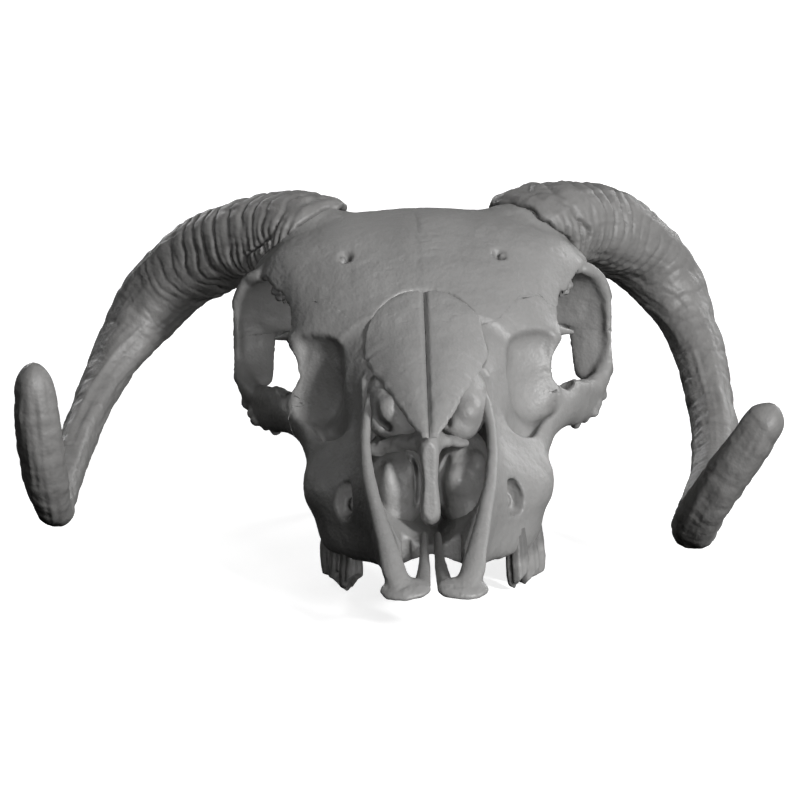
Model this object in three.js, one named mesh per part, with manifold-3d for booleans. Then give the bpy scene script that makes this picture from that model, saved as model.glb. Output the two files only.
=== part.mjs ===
// A goat's skull without its lower jaw, life size, with both curled horn sheaths on their cores.
// Millimetres, +Z up. The muzzle points along -Y and the animal's left side is at +X.
// It rests on its cheek teeth and on the tips of the two paracondylar processes, at z = 0.
import * as THREE from "three";
import { mergeVertices } from "three/addons/utils/BufferGeometryUtils.js";
import Module from "manifold-3d";

const wasm = await Module();
wasm.setup();

// The whole skull
const SUTURE = 0.3; // gap left between bones that meet
const LEFT = 1;
const RIGHT = -1;
const SIDES = [LEFT, RIGHT];
const FLOOR = -3; // height of the floor in the tables below
const MIDDLE = [-8.7, 104.7]; // x and y in the tables of the middle of the whole skull

// Coronal sections of the face, front to back: the roof and palate on the midline, and the side's
// half widths and heights at the nasal edge, the wall, the crest, the hollow under it, the alveolar
// edge and the gum line
const FACE = [
  { y: 20, roof: 21, palate: 13,
    side: [[8, 20.5], [11.5, 19], [13, 17.5], [13.5, 15.5], [12.5, 13.5], [9, 12.5]] },
  { y: 30, roof: 32, palate: 12.6,
    side: [[10, 31], [15, 26], [16.5, 22], [16.5, 17.5], [14.5, 13], [10.5, 11.8]] },
  { y: 46, roof: 50, palate: 13.5,
    side: [[14, 47], [20, 38], [21, 30], [20, 21], [18.5, 12.5], [13, 11]] },
  { y: 58, roof: 60, palate: 14.5,
    side: [[16.5, 55], [21.5, 44], [26.5, 30], [26, 21], [25, 11], [17, 9.5]] },
  { y: 70, roof: 66, palate: 15.5,
    side: [[17, 61], [23, 47], [36, 29], [34.5, 20], [31.5, 10], [21, 9]] },
  { y: 80, roof: 71, palate: 16.5,
    side: [[18, 66], [25, 51], [40.5, 29], [37.5, 20], [34, 9.5], [23, 9]] },
  { y: 91, roof: 77.5, palate: 17.5,
    side: [[20, 71.5], [28.5, 57], [37.5, 37], [34, 26], [34, 9.5], [24.5, 9]] },
  { y: 102, roof: 83.5, palate: 18.5,
    side: [[23.5, 77], [34, 63], [40.5, 47.5], [33, 35], [34.5, 10.5], [25, 10]] },
  { y: 112, roof: 88.5, palate: 20,
    side: [[29, 82], [41.5, 71], [44.5, 54], [33, 40], [34, 14], [24, 13]] },
  { y: 121, roof: 92.5, palate: 26,
    side: [[33, 86], [43, 75], [41, 58], [27, 44], [28, 22], [20, 20]] },
];

// Sections of the braincase: middle height, half height and half width
const BRAINCASE = [
  { y: 106, middle: 57, high: 24, wide: 22 },
  { y: 120, middle: 63, high: 29, wide: 20 },
  { y: 133, middle: 69.5, high: 31, wide: 20.5 },
  { y: 146, middle: 72, high: 34, wide: 27 },
  { y: 158, middle: 70.5, high: 36, wide: 33.5 },
  { y: 171, middle: 66, high: 36, wide: 36 },
  { y: 184, middle: 59, high: 32, wide: 35 },
  { y: 194, middle: 53, high: 26, wide: 32 },
  { y: 201, middle: 48, high: 19, wide: 26 },
];

// Sections of the frontal roof: height on the midline, over the foramina and at the orbit's rim
const FRONTAL = [
  { y: 101, roof: 83, brow: [21, 79.5], slope: [26, 75.5], rim: [29, 71.5], thick: 10 },
  { y: 109, roof: 87.3, brow: [24, 84.5], slope: [35, 79], rim: [41, 70.5], thick: 9 },
  { y: 118, roof: 92.8, brow: [26, 90.5], slope: [39.5, 82.5], rim: [46, 74.5], thick: 9 },
  { y: 128, roof: 98.2, brow: [27, 96.4], slope: [43.5, 89], rim: [51, 82], thick: 8 },
  { y: 139, roof: 102.8, brow: [29, 101.5], slope: [47, 95], rim: [55, 89.5], thick: 8 },
  { y: 149, roof: 105.2, brow: [31, 104], slope: [48, 97.5], rim: [59, 89.5], thick: 8 },
  { y: 159, roof: 105.9, brow: [32, 104.6], slope: [46, 97], rim: [54, 89], thick: 8 },
  { y: 169, roof: 103.5, brow: [31, 102], slope: [42, 95], rim: [47, 88], thick: 9 },
  { y: 176, roof: 98.5, brow: [28, 96.5], slope: [35, 91], rim: [38, 86], thick: 8 },
];

// The nasal bones: half width, height on the midline, and fall of the outer edge below it
const NASAL = [
  { y: 110, half: 2.2, top: 88.6, fall: 0.2 },
  { y: 108.2, half: 8.5, top: 87.7, fall: 0.9 },
  { y: 104, half: 14.2, top: 85.6, fall: 2.4 },
  { y: 98, half: 18.3, top: 82.4, fall: 4 },
  { y: 91, half: 20, top: 78.8, fall: 4.8 },
  { y: 83, half: 18.6, top: 74.6, fall: 4.6 },
  { y: 74, half: 15, top: 69.9, fall: 3.6 },
  { y: 65, half: 11.4, top: 65.2, fall: 2.6 },
  { y: 56, half: 8, top: 60.6, fall: 1.7 },
  { y: 48, half: 4.9, top: 56.6, fall: 0.9 },
  { y: 42.5, half: 2.3, top: 53.9, fall: 0.3 },
];
const NASAL_THICK = 2.4;
const NASAL_GROOVE = 0.9;

// The air space: half width, floor and roof
const AIRWAY = [
  { y: 2, half: 8, floor: 15.5, roof: 40 },
  { y: 24, half: 11.5, floor: 15.5, roof: 50 },
  { y: 40, half: 16, floor: 16.2, roof: 62 },
  { y: 56, half: 18.7, floor: 17.5, roof: 68 },
  { y: 68, half: 19, floor: 18.5, roof: 67.5 },
  { y: 82, half: 18.2, floor: 20, roof: 71.5 },
  { y: 96, half: 16.5, floor: 22.5, roof: 77 },
  { y: 107, half: 11, floor: 28, roof: 76 },
];
const OPENING_EDGE = [
  [6, 17], [28, 28.5], [45, 38.5], [60, 47.6], [74, 56.2], [82, 64], [82.5, 112], [6, 112],
];
const FISSURE = { front: 4, back: 50, half: 11.4 };

// Paths on the animal's left side, mirrored for its right: x, y, z, then half width and half height
const ORBIT_RIM = [
  [44.5, 114, 72.5, 2.6, 2.2], [47.2, 121.5, 79.5, 2.6, 2.2], [51.2, 131, 86.5, 2.6, 2.3],
  [55.6, 142, 89.4, 2.8, 2.6],
  [59.8, 149.5, 84.5, 3.2, 2.4], [61.6, 152.5, 74, 3.2, 2.2], [61.4, 152, 62, 3.2, 2.2],
  [60, 148.5, 52, 3.2, 2.6],
  [55.8, 138, 48, 3, 3], [50.3, 127, 49.8, 3, 3], [45.4, 118.5, 56, 2.8, 2.8],
  [43.6, 114, 64.5, 2.6, 2.6],
];
const POSTORBITAL_BAR = [
  [53, 149, 92, 7.4, 3], [55.2, 153.5, 84, 7.4, 2], [55.6, 155.5, 74, 7, 1.7],
  [55.2, 155, 62, 6.4, 1.7], [55.6, 151.5, 52, 5.6, 2.2], [56.5, 147, 46, 4.4, 2.6],
];
const POSTORBITAL_WALL = [
  [45, 150, 96, 14, 2.4], [45, 155.5, 84, 13.5, 1.8], [44, 157, 72, 12, 1.7], [43, 156, 67.5, 9, 1.4],
];
const BAR_ACROSS = [0.93, -0.36, 0];
const CHEEK = [
  [36, 80, 28.5, 4, 4.5], [34.5, 92, 36, 5, 6], [37.5, 104, 43.5, 6, 7], [44.5, 116, 46.5, 5.5, 7.4],
  [51, 128, 44.5, 4, 7.2], [56, 139, 43.6, 3.2, 5.6], [60, 149, 46.5, 2.6, 4.4],
];
const ZYGOMATIC_ARCH = [
  [57.5, 141, 45.5, 2.4, 5.4], [60.4, 152, 48.5, 2.3, 5.2], [60.2, 164, 52.5, 2.2, 4.8],
  [57, 175, 56, 2.8, 4.4], [48, 183, 59, 5, 4.6], [35, 187, 60, 8, 5],
];
const JAW_SOCKET = [[50, 176, 55.5, 6, 2.6], [40, 178, 54.5, 6.6, 3], [30, 180, 52, 6, 4]];
const NUCHAL_CREST = [
  [34, 186, 58, 3, 2.6], [33, 193, 66, 3, 2.6], [24, 198, 73.5, 3, 2.8], [-2, 199.5, 76.5, 3, 3],
];
const PARACONDYLAR = [
  [24, 194, 44, 9, 5], [26.5, 195, 30, 8, 3.8], [27.5, 194, 17, 6.4, 3], [27.4, 191.5, 6, 5, 2.6],
  [27, 190, -4, 4.2, 2.4],
];
const PTERYGOID_PLATE = [
  [13, 112, 26, 1.8, 8], [11, 124, 30, 1.7, 9.5], [10, 136, 33, 1.7, 9], [9.5, 147, 37.5, 1.6, 6.5],
];
const BASE_BAR = [[0, 140, 42, 8, 5], [0, 160, 38, 9, 5], [0, 180, 35, 10, 5], [0, 200, 35, 12, 5]];
const HORN_CORE = {
  [LEFT]: [
    [28, 154, 91, 14, 12], [33, 160, 96.5, 15.5, 12.5], [44, 170, 98, 14.5, 11.8],
    [56, 180, 95.6, 12.5, 10],
  ],
  [RIGHT]: [
    [-29, 154, 91, 14, 12], [-34, 160, 96, 15.5, 12.5], [-45.5, 171, 96.2, 14.5, 11.8],
    [-58, 181.5, 92.8, 12.5, 10],
  ],
};
const CORE_GAP = 0.4;
const HORN_MOUTH = { at: [38, 165, 98], facing: [0.56, 0.4, 0.72] }; // the plane of the sheath's rim

// Horn sheaths: centre line from the base to the blunt tip, half width outwards and half width in the curl
const HORN_SHEATH = {
  [LEFT]: [
    [27, 157, 92, 16, 13.4], [40.5, 167, 98, 17.5, 14.4], [53, 178, 97.6, 17.8, 14.3],
    [67.4, 190, 91, 16.5, 14], [79.2, 197, 81, 14.3, 11.5], [88.2, 198, 70, 10.8, 12],
    [93.8, 193, 59, 9.2, 12], [97.2, 182, 47.5, 8.7, 11.5], [98.8, 166, 36, 8.2, 10.5],
    [98.8, 148, 27, 7.8, 9.5], [96.8, 128, 19, 7.6, 8.4],
    [91.2, 108, 12.2, 7.4, 7.4], [86.6, 91, 10.4, 7.2, 7], [89.3, 78, 20, 7.4, 7.6],
    [96.4, 69, 33, 7.4, 7.6], [103.5, 64.5, 45, 7, 7], [108.2, 63, 53, 6, 6],
    [110.4, 62.5, 57, 4.4, 4.4],
  ],
  [RIGHT]: [
    [-28, 157, 92, 16, 13.4], [-42.5, 168.5, 97, 17.5, 14.4], [-58, 180, 94.2, 17.5, 13.9],
    [-74.6, 191, 86, 16, 13.4], [-88, 197, 75.3, 13.8, 11.2], [-98.2, 197, 63.8, 10.4, 11.8],
    [-106, 191, 53, 8.3, 11.6], [-112.3, 180, 42.5, 7.3, 11], [-117, 165, 33.5, 6.5, 10],
    [-120, 148, 26.8, 6, 9], [-121.6, 128, 21.4, 5.6, 7.8],
    [-122.2, 108, 18.6, 5.2, 6.2], [-122.8, 91, 22.4, 6, 6.6], [-123.6, 78, 35.5, 7, 7],
    [-124.4, 70.5, 50, 7.2, 7.2], [-125, 67.5, 65, 6.2, 6.2], [-125.2, 67, 75, 4.2, 4.4],
  ],
};
const CURL_AXIS = [0.86, -0.5, 0];

// Incisive bones
const INCISIVE_ROD = [
  [9.5, 3.5, 14.6, 4, 2], [11.8, 9, 18, 4.6, 2.6], [13.6, 17, 23, 3.9, 2.5], [16.6, 31, 31, 2.9, 2.4],
  [19.2, 45, 39.4, 2.5, 2.3], [20.2, 60, 48.6, 2.1, 2.2], [18.8, 73, 57, 1.9, 2],
  [17.2, 80, 62, 1.3, 1.4],
];
const INCISIVE_BLADE = { centre: [8.8, 4.2, 14.2], radii: [7.8, 5.6, 2.1], turn: [0.35, 0, 0.06] };
const PALATINE_BAR = [
  [4.6, 4, 13.6, 3, 2], [3.6, 12, 13.8, 2.6, 1.8], [2.7, 28, 14.6, 1.9, 1.6], [2.3, 44, 16, 1.5, 1.5],
  [2.1, 56, 18.6, 1.3, 1.5],
];

// Inside the nose
const VOMER = [
  { y: 47, half: 3, low: 40, high: 51.5 },
  { y: 53, half: 3, low: 27, high: 54.5 },
  { y: 60, half: 2.6, low: 20.6, high: 58.3 },
  { y: 76, half: 1.8, low: 20.6, high: 66 },
  { y: 96, half: 1.6, low: 24, high: 73 },
];
const SHELF = [
  [-17.6, 66, 45, 2, 1.5], [-9, 63, 47.8, 2.4, 1.6], [0, 62, 48.5, 3, 1.8], [8, 63.5, 47.6, 2.2, 1.4],
  [11.5, 66, 46, 1.2, 1.1],
];
const CONCHAE = [
  { name: "dorsal_concha", centre: [9.2, 78, 57.8], radii: [6.2, 17, 7.4], turn: [0.42, 0, 0] },
  { name: "ventral_concha", centre: [10.4, 79, 34.5], radii: [7.4, 19, 10.5], turn: [0.12, 0, 0] },
];

// Cheek teeth, front to back: place along the row, widths across and along, and length below the bone
const TEETH = [
  { x: 26.6, y: 64.8, across: 3.8, along: 4, length: 12, worn: 0.6 },
  { x: 29.6, y: 73.6, across: 4.4, along: 4.3, length: 12, worn: 0 },
  { x: 30.6, y: 84, across: 5.2, along: 5.6, length: 12, worn: 0 },
  { x: 30.9, y: 96.4, across: 5.4, along: 6.3, length: 12, worn: 0 },
  { x: 30.4, y: 110, across: 5, along: 6.4, length: 14, worn: 0 },
];
const ROW_SHIFT = 1.1; // the two rows stand this far to the animal's left of the middle
const TOOTH_ROOT = 9;

const BONE = new THREE.MeshStandardMaterial({ color: 0x8d8b87, roughness: 0.7, metalness: 0 });
const NASAL_BONE = new THREE.MeshStandardMaterial({ color: 0x93918d, roughness: 0.68, metalness: 0 });
const TURBINATE = new THREE.MeshStandardMaterial({ color: 0x979591, roughness: 0.75, metalness: 0 });
const HORN = new THREE.MeshStandardMaterial({ color: 0x757370, roughness: 0.6, metalness: 0 });

// A smooth cubic through a table's values at its stations
function through(table, read) {
  return (y) => {
    const forward = table[1].y > table[0].y ? 1 : -1;
    let i = 0;
    while (i < table.length - 2 && (y - table[i + 1].y) * forward > 0) i += 1;
    const slope = (k) => {
      const a = Math.max(k - 1, 0);
      const b = Math.min(k + 1, table.length - 1);
      return (read(table[b]) - read(table[a])) / (table[b].y - table[a].y);
    };
    const span = table[i + 1].y - table[i].y;
    const t = (y - table[i].y) / span;
    const rise = (1 + 2 * t) * (1 - t) ** 2 * read(table[i]) + t * t * (3 - 2 * t) * read(table[i + 1]);
    return rise + span * (t * (1 - t) ** 2 * slope(i) - t * t * (1 - t) * slope(i + 1));
  };
}

// A closed solid through rings of points, its ends filled from their middles
function skin(rings) {
  const around = rings[0].length;
  const points = rings.flat();
  const faces = [];
  for (let i = 0; i < rings.length - 1; i += 1) {
    for (let j = 0; j < around; j += 1) {
      const a = i * around + j;
      const b = i * around + ((j + 1) % around);
      faces.push(a, b, b + around, a, b + around, a + around);
    }
  }
  for (const [start, turn] of [[0, -1], [(rings.length - 1) * around, 1]]) {
    const middle = new THREE.Vector3();
    for (let j = 0; j < around; j += 1) middle.addScaledVector(points[start + j], 1 / around);
    points.push(middle);
    for (let j = 0; j < around; j += 1) {
      const pair = [start + j, start + ((j + 1) % around)];
      if (turn < 0) pair.reverse();
      faces.push(points.length - 1, ...pair);
    }
  }
  const shape = new THREE.BufferGeometry().setFromPoints(points);
  shape.setIndex(faces);
  return solid(shape);
}

// A closed triangle mesh as a solid with its faces pointing out
function solid(shape) {
  const bare = shape.clone();
  for (const name of Object.keys(bare.attributes)) if (name !== "position") bare.deleteAttribute(name);
  const merged = mergeVertices(bare, 1e-4);
  const vertProperties = new Float32Array(merged.attributes.position.array);
  const triVerts = new Uint32Array(merged.index.array);
  const made = new wasm.Manifold(new wasm.Mesh({ numProp: 3, vertProperties, triVerts }));
  if (made.volume() >= 0) return made;
  for (let i = 0; i < triVerts.length; i += 3) {
    [triVerts[i], triVerts[i + 1]] = [triVerts[i + 1], triVerts[i]];
  }
  return new wasm.Manifold(new wasm.Mesh({ numProp: 3, vertProperties, triVerts }));
}

// Evenly spaced stations from a table's first y to its last
function stations(table, count) {
  const [first, last] = [table[0].y, table.at(-1).y];
  return Array.from({ length: count }, (_, i) => first + ((last - first) * i) / (count - 1));
}

// A ring at one station, from the right-hand half of its outline, mirrored and smoothed
function mirroredRing(y, half, around) {
  const mirror = half.slice(1, -1).reverse().map(([x, z]) => [-x, z]);
  const outline = [...half, ...mirror].map(([x, z]) => new THREE.Vector3(x, y, z));
  const curve = new THREE.CatmullRomCurve3(outline, true, "centripetal");
  return Array.from({ length: around }, (_, j) => curve.getPoint(j / around));
}

// A flattened tube along a path of [x, y, z, half width, half height]; across points its width
function limb(path, across, { sides = 10, steps = 12, closed = false, blunt = 0.72 } = {}) {
  const points = path.map(([x, y, z]) => new THREE.Vector3(x, y, z));
  const curve = new THREE.CatmullRomCurve3(points, closed, "centripetal");
  const size = (t, k) => {
    const place = t * (closed ? path.length : path.length - 1);
    const i = Math.min(Math.floor(place), closed ? path.length - 1 : path.length - 2);
    const next = path[(i + 1) % path.length];
    return THREE.MathUtils.lerp(path[i][k], next[k], place - i);
  };
  const ends = closed ? [] : [0.012, 0.988];
  const at = [...Array.from({ length: steps + 1 }, (_, i) => i / steps), ...ends].sort((a, b) => a - b);
  const ring = (t) => {
    const centre = curve.getPoint(t);
    const along = curve.getTangent(t);
    const wide = across.clone().addScaledVector(along, -across.dot(along)).normalize();
    const high = along.clone().cross(wide);
    const shrink = !closed && (t === 0 || t === 1) ? blunt : 1;
    return Array.from({ length: sides }, (_, j) => {
      const angle = (2 * Math.PI * j) / sides;
      return centre
        .clone()
        .addScaledVector(wide, shrink * size(t, 3) * Math.cos(angle))
        .addScaledVector(high, shrink * size(t, 4) * Math.sin(angle));
    });
  };
  return skin(at.map(ring));
}

const mirrored = (path, side) => path.map(([x, ...rest]) => [side * x, ...rest]);
const arrow = (x, y, z, side = LEFT) => new THREE.Vector3(side * x, y, z);
const grown = (path, margin) => path.map(([x, y, z, a, b]) => [x, y, z, a + margin, b + margin]);

// A horn's bony core
function core(side, margin) {
  const path = grown(HORN_CORE[side], margin);
  return limb(path, arrow(...CURL_AXIS, side), { steps: 5, sides: 10, blunt: 0.8 });
}

// A horn sheath, its rim cut off square to the plane of its mouth
function sheath(side, margin) {
  const { at, facing } = HORN_MOUTH;
  const away = arrow(...facing, side).normalize();
  const block = new THREE.BoxGeometry(90, 90, 60);
  block.translate(0, 0, -30);
  block.applyQuaternion(new THREE.Quaternion().setFromUnitVectors(arrow(0, 0, 1), away));
  block.translate(...arrow(...at, side).addScaledVector(away, -margin).toArray());
  const horn = limb(grown(HORN_SHEATH[side], margin), arrow(...CURL_AXIS, side), { sides: 12, steps: 30 });
  return horn.subtract(solid(block));
}

// A ring-shaped limb, made as two halves that overlap, so that each stays a plain closed tube
function hoop(path, across, options) {
  const half = Math.floor(path.length / 2);
  const first = path.slice(0, half + 2);
  const second = [...path.slice(half), path[0], path[1]];
  return limb(first, across, options).add(limb(second, across, options));
}

function ellipsoid(centre, radii, turn = [0, 0, 0], detail = [14, 10]) {
  const shape = new THREE.SphereGeometry(1, ...detail);
  shape.scale(...radii);
  shape.applyMatrix4(new THREE.Matrix4().makeRotationFromEuler(new THREE.Euler(...turn)));
  shape.translate(...centre);
  return solid(shape);
}

// A prism across the skull: an outline of y and z, from one x to another
function prism(outline, fromX, toX) {
  const shape = new THREE.Shape(outline.map(([y, z]) => new THREE.Vector2(y, z)));
  const block = new THREE.ExtrudeGeometry(shape, { depth: toX - fromX, bevelEnabled: false });
  const turned = new THREE.Matrix4().makeBasis(arrow(0, 1, 0), arrow(0, 0, 1), arrow(1, 0, 0));
  block.applyMatrix4(turned);
  block.translate(fromX, 0, 0);
  return solid(block);
}

function join(pieces) {
  return pieces.reduce((whole, piece) => whole.add(piece));
}

// The face from the front of the diastema to the orbits, solid
function face() {
  const read = FACE[0].side.map((_, i) => [0, 1].map((k) => through(FACE, (row) => row.side[i][k])));
  const roof = through(FACE, (row) => row.roof);
  const palate = through(FACE, (row) => row.palate);
  const rings = stations(FACE, 12).map((y) => {
    const side = read.map(([x, z]) => [x(y), z(y)]);
    return mirroredRing(y, [[0, roof(y)], ...side, [0, palate(y)]], 22);
  });
  return skin(rings);
}

function braincase() {
  const names = ["middle", "high", "wide"];
  const [middle, high, wide] = names.map((name) => through(BRAINCASE, (row) => row[name]));
  const around = 15;
  const rings = stations(BRAINCASE, 8).map((y) =>
    Array.from({ length: around }, (_, j) => {
      const angle = (2 * Math.PI * j) / around;
      const bulge = 1 + 0.06 * Math.sin(2 * angle) ** 2;
      const [x, z] = [wide(y) * bulge * Math.sin(angle), high(y) * bulge * Math.cos(angle)];
      return new THREE.Vector3(x, y, middle(y) + z);
    }),
  );
  return skin(rings);
}

// The frontal roof, which reaches out over both orbits and thins to their rims
function frontal() {
  const names = ["brow", "slope", "rim"];
  const read = names.map((name) => [0, 1].map((k) => through(FRONTAL, (row) => row[name][k])));
  const roof = through(FRONTAL, (row) => row.roof);
  const thick = through(FRONTAL, (row) => row.thick);
  const rings = stations(FRONTAL, 8).map((y) => {
    const [brow, slope, rim] = read.map(([x, z]) => [x(y), z(y)]);
    const under = [[slope[0] - 1.5, slope[1] - 0.55 * thick(y)], [brow[0], brow[1] - 1.6 * thick(y)]];
    return mirroredRing(y, [[0, roof(y)], brow, slope, rim, ...under, [0, roof(y) - 2.2 * thick(y)]], 20);
  });
  return skin(rings);
}

// One nasal bone, or with side 0 both as one plate, grown by a margin so that it can cut its own seat
function nasalPlate(side, margin) {
  const [half, top, fall] = ["half", "top", "fall"].map((name) => through(NASAL, (row) => row[name]));
  const across = [0, 0.12, 0.45, 0.8, 1];
  const rings = stations(NASAL, 13).map((y, i, all) => {
    const atEnd = i === 0 ? 1 : i === all.length - 1 ? -1 : 0;
    const width = half(y) + margin;
    const drop = (s) => top(y) - fall(y) * s ** 2.4;
    const groove = (s) => NASAL_GROOVE * Math.exp(-((s / 0.12) ** 2)) * Math.min(1, width / 8);
    const upper = across.map((s) => [s * width, drop(s) - groove(s) + margin]);
    const lower = across.map((s) => [s * width, drop(s) - NASAL_THICK * (1 - 0.35 * s) - margin]).reverse();
    const place = ([x, z]) => new THREE.Vector3(x, y + atEnd * margin, z);
    if (side !== 0) {
      return [...upper, ...lower].map(([x, z]) => place([side * Math.max(x, SUTURE / 2), z]));
    }
    const other = [...lower.slice(0, -1).reverse(), ...upper.slice(1).reverse()].map(([x, z]) => [-x, z]);
    return [...upper, ...lower, ...other].map(place);
  });
  return skin(rings);
}

function airway() {
  const [half, floor, roof] = ["half", "floor", "roof"].map((name) => through(AIRWAY, (row) => row[name]));
  const rings = stations(AIRWAY, 7).map((y) => {
    const [w, low, high] = [half(y), floor(y), roof(y)];
    const rise = high - low;
    const wall = [
      [0.6 * w, high - 0.03 * rise], [w, low + 0.68 * rise], [w, low + 0.3 * rise], [0.72 * w, low],
    ];
    return mirroredRing(y, [[0, high], ...wall, [0, low + 0.6]], 14);
  });
  return skin(rings);
}

function vomer() {
  const [half, low, high] = ["half", "low", "high"].map((name) => through(VOMER, (row) => row[name]));
  const rings = stations(VOMER, 7).map((y) => {
    const [w, a, b] = [half(y), low(y), high(y)];
    const wall = [[0.9 * w, b - 2], [0.8 * w, (a + b) / 2], [0.9 * w, a + 2]];
    return mirroredRing(y, [[0, b], ...wall, [0, a]], 12);
  });
  return skin(rings);
}

// One cheek tooth: a ribbed crown that narrows to a worn flat, with its root in the bone
function tooth({ x, y, across, along, length, worn }, side) {
  const levels = [length + TOOTH_ROOT, 0.7 * length, 3, worn];
  const swell = [0.7, 1, 0.94, 0.72];
  const rings = levels.map((z, i) =>
    Array.from({ length: 10 }, (_, j) => {
      const angle = (2 * Math.PI * j) / 10;
      const rib = 1 + 0.09 * Math.cos(4 * angle);
      const lean = 0.5 * Math.max(0, 1 - z / length);
      return new THREE.Vector3(
        ROW_SHIFT + side * (x + lean + across * swell[i] * rib * Math.cos(angle)),
        y + along * swell[i] * rib * Math.sin(angle),
        FLOOR + z,
      );
    }),
  );
  return skin(rings);
}

// Everything that is bone behind the nasal bones, before it is parted along its sutures
function wholeSkull() {
  const bodies = [face(), braincase(), frontal(), limb(BASE_BAR, arrow(1, 0, 0), { steps: 5, sides: 8 })];
  for (const side of SIDES) {
    const path = (points) => mirrored(points, side);
    bodies.push(
      limb(path(CHEEK), arrow(0.9, -0.4, 0, side), { steps: 9, sides: 8 }),
      limb(path(JAW_SOCKET), arrow(0, 1, 0), { steps: 3, sides: 7 }),
      limb(path(NUCHAL_CREST), arrow(0, 1, 0.3), { steps: 6, sides: 6 }),
      limb(path(PARACONDYLAR), arrow(0, 1, 0), { steps: 5, sides: 7 }),
      limb(path(PTERYGOID_PLATE), arrow(1, 0, 0), { steps: 5, sides: 7 }),
      ellipsoid([side * 20, 178, 34], [8.5, 13, 11], [0, 0, 0], [10, 8]),
      ellipsoid([side * 11, 203, 40], [7, 7.5, 10.5], [0, side * 0.5, 0], [10, 8]),
      ellipsoid([side * 32, 181, 54], [6, 10, 9], [0, 0, 0], [9, 6]),
    );
    bodies.push(core(side, 0));
  }
  let whole = join(bodies);
  for (const side of SIDES) {
    whole = whole
      .subtract(ellipsoid([side * 48.5, 134.5, 69.5], [28, 17.8, 19], [0, 0, side * -0.42], [16, 10]))
      .subtract(ellipsoid([side * 43, 154, 62], [12, 18, 13], [0, 0, 0], [10, 7]))
      .subtract(ellipsoid([side * 25.6, 127, 99], [2.2, 2.2, 6], [0, 0, 0], [8, 6]))
      .subtract(ellipsoid([side * 26.5, 60, 29], [4.5, 6, 5.5], [0.4, 0, side * 0.6], [10, 8]));
  }
  const rims = SIDES.flatMap((side) => [
    hoop(mirrored(ORBIT_RIM, side), arrow(0.45, -0.2, 0, side), { steps: 7, sides: 6 }),
    limb(mirrored(POSTORBITAL_BAR, side), arrow(...BAR_ACROSS, side), { steps: 6, sides: 7 }),
    limb(mirrored(POSTORBITAL_WALL, side), arrow(...BAR_ACROSS, side), { steps: 3, sides: 7 }),
    limb(mirrored(ZYGOMATIC_ARCH, side), arrow(1, 0, 0, side), { steps: 7, sides: 7 }),
  ]);
  whole = join([whole, ...rims]);
  const magnum = ellipsoid([0, 206, 43.5], [8.5, 24, 8.5], [0, 0, 0], [12, 8]);
  const choana = ellipsoid([0, 128, 32], [8.6, 26, 11], [0.3, 0, 0], [12, 8]);
  const below = prism([[-20, -30], [240, -30], [240, FLOOR], [-20, FLOOR]], -80, 80);
  return whole.subtract(airway()).subtract(magnum).subtract(choana).subtract(below);
}

const largest = (made) => made.decompose().sort((a, b) => b.volume() - a.volume())[0];

// Regions that part the skull: outlines of y and z
const APART = SUTURE / 2; // how far each bone stops from its seam
const SEAM = [[93, 130], [93, 78.5], [114.5, 71.5], [119, 60], [119, 47], [123, 38], [126, -5]];
const behindSeam = [...SEAM.map(([y, z]) => [y + APART, z]), [240, -5], [240, 130]];
const aheadOfSeam = [...SEAM.map(([y, z]) => [y - APART, z]), [-20, -5], [-20, 130]];
const CHEEK_SEAM = [[116, 64.5], [108, 52], [104, 36], [104, 20]];
const CHEEK_END = { y: 168, top: 65 };
const CHEEK_FROM = 36;

const whole = wholeSkull();
const seat = nasalPlate(0, SUTURE);
const underNasals = whole.subtract(seat).subtract(prism(OPENING_EDGE, -26, 26));
const fissureSide = [[FISSURE.front, 0], [FISSURE.back, 0], [FISSURE.back + 2, 25], [FISSURE.front, 25]];
const fissures = prism(fissureSide, -FISSURE.half, FISSURE.half);

const parts = new Map();

function cheekRegion(side, margin) {
  const outline = [
    ...CHEEK_SEAM.map(([y, z]) => [y + margin, z]),
    [CHEEK_END.y - margin, 20],
    [CHEEK_END.y - margin, CHEEK_END.top - margin],
    [116 + margin, CHEEK_END.top - margin],
  ];
  const [a, b] = [CHEEK_FROM + margin, 90];
  return side > 0 ? prism(outline, a, b) : prism(outline, -b, -a);
}

const cheekRegions = join(SIDES.map((side) => cheekRegion(side, -APART)));
const underHorns = join(SIDES.map((side) => sheath(side, SUTURE).subtract(core(side, 0))));
const cranium = underNasals
  .intersect(prism(behindSeam, -90, 90))
  .subtract(cheekRegions)
  .subtract(underHorns);
parts.set("cranium", [largest(cranium), BONE]);

// An incisive bone: the blade in front, the rod that runs up to the maxilla, and the strip along the palate
function incisive(side, margin) {
  const { centre, radii, turn } = INCISIVE_BLADE;
  const path = (points) => grown(mirrored(points, side), margin);
  const rod = limb(path(INCISIVE_ROD), arrow(1, -0.25, 0, side), { steps: 10, sides: 7 });
  const bar = limb(path(PALATINE_BAR), arrow(1, 0, 0), { steps: 9, sides: 8 });
  const [x, y, z] = centre;
  const blade = ellipsoid([side * x, y, z], radii, [turn[0], side * turn[2], 0], [12, 8]);
  return join([rod, bar, blade]);
}

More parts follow.
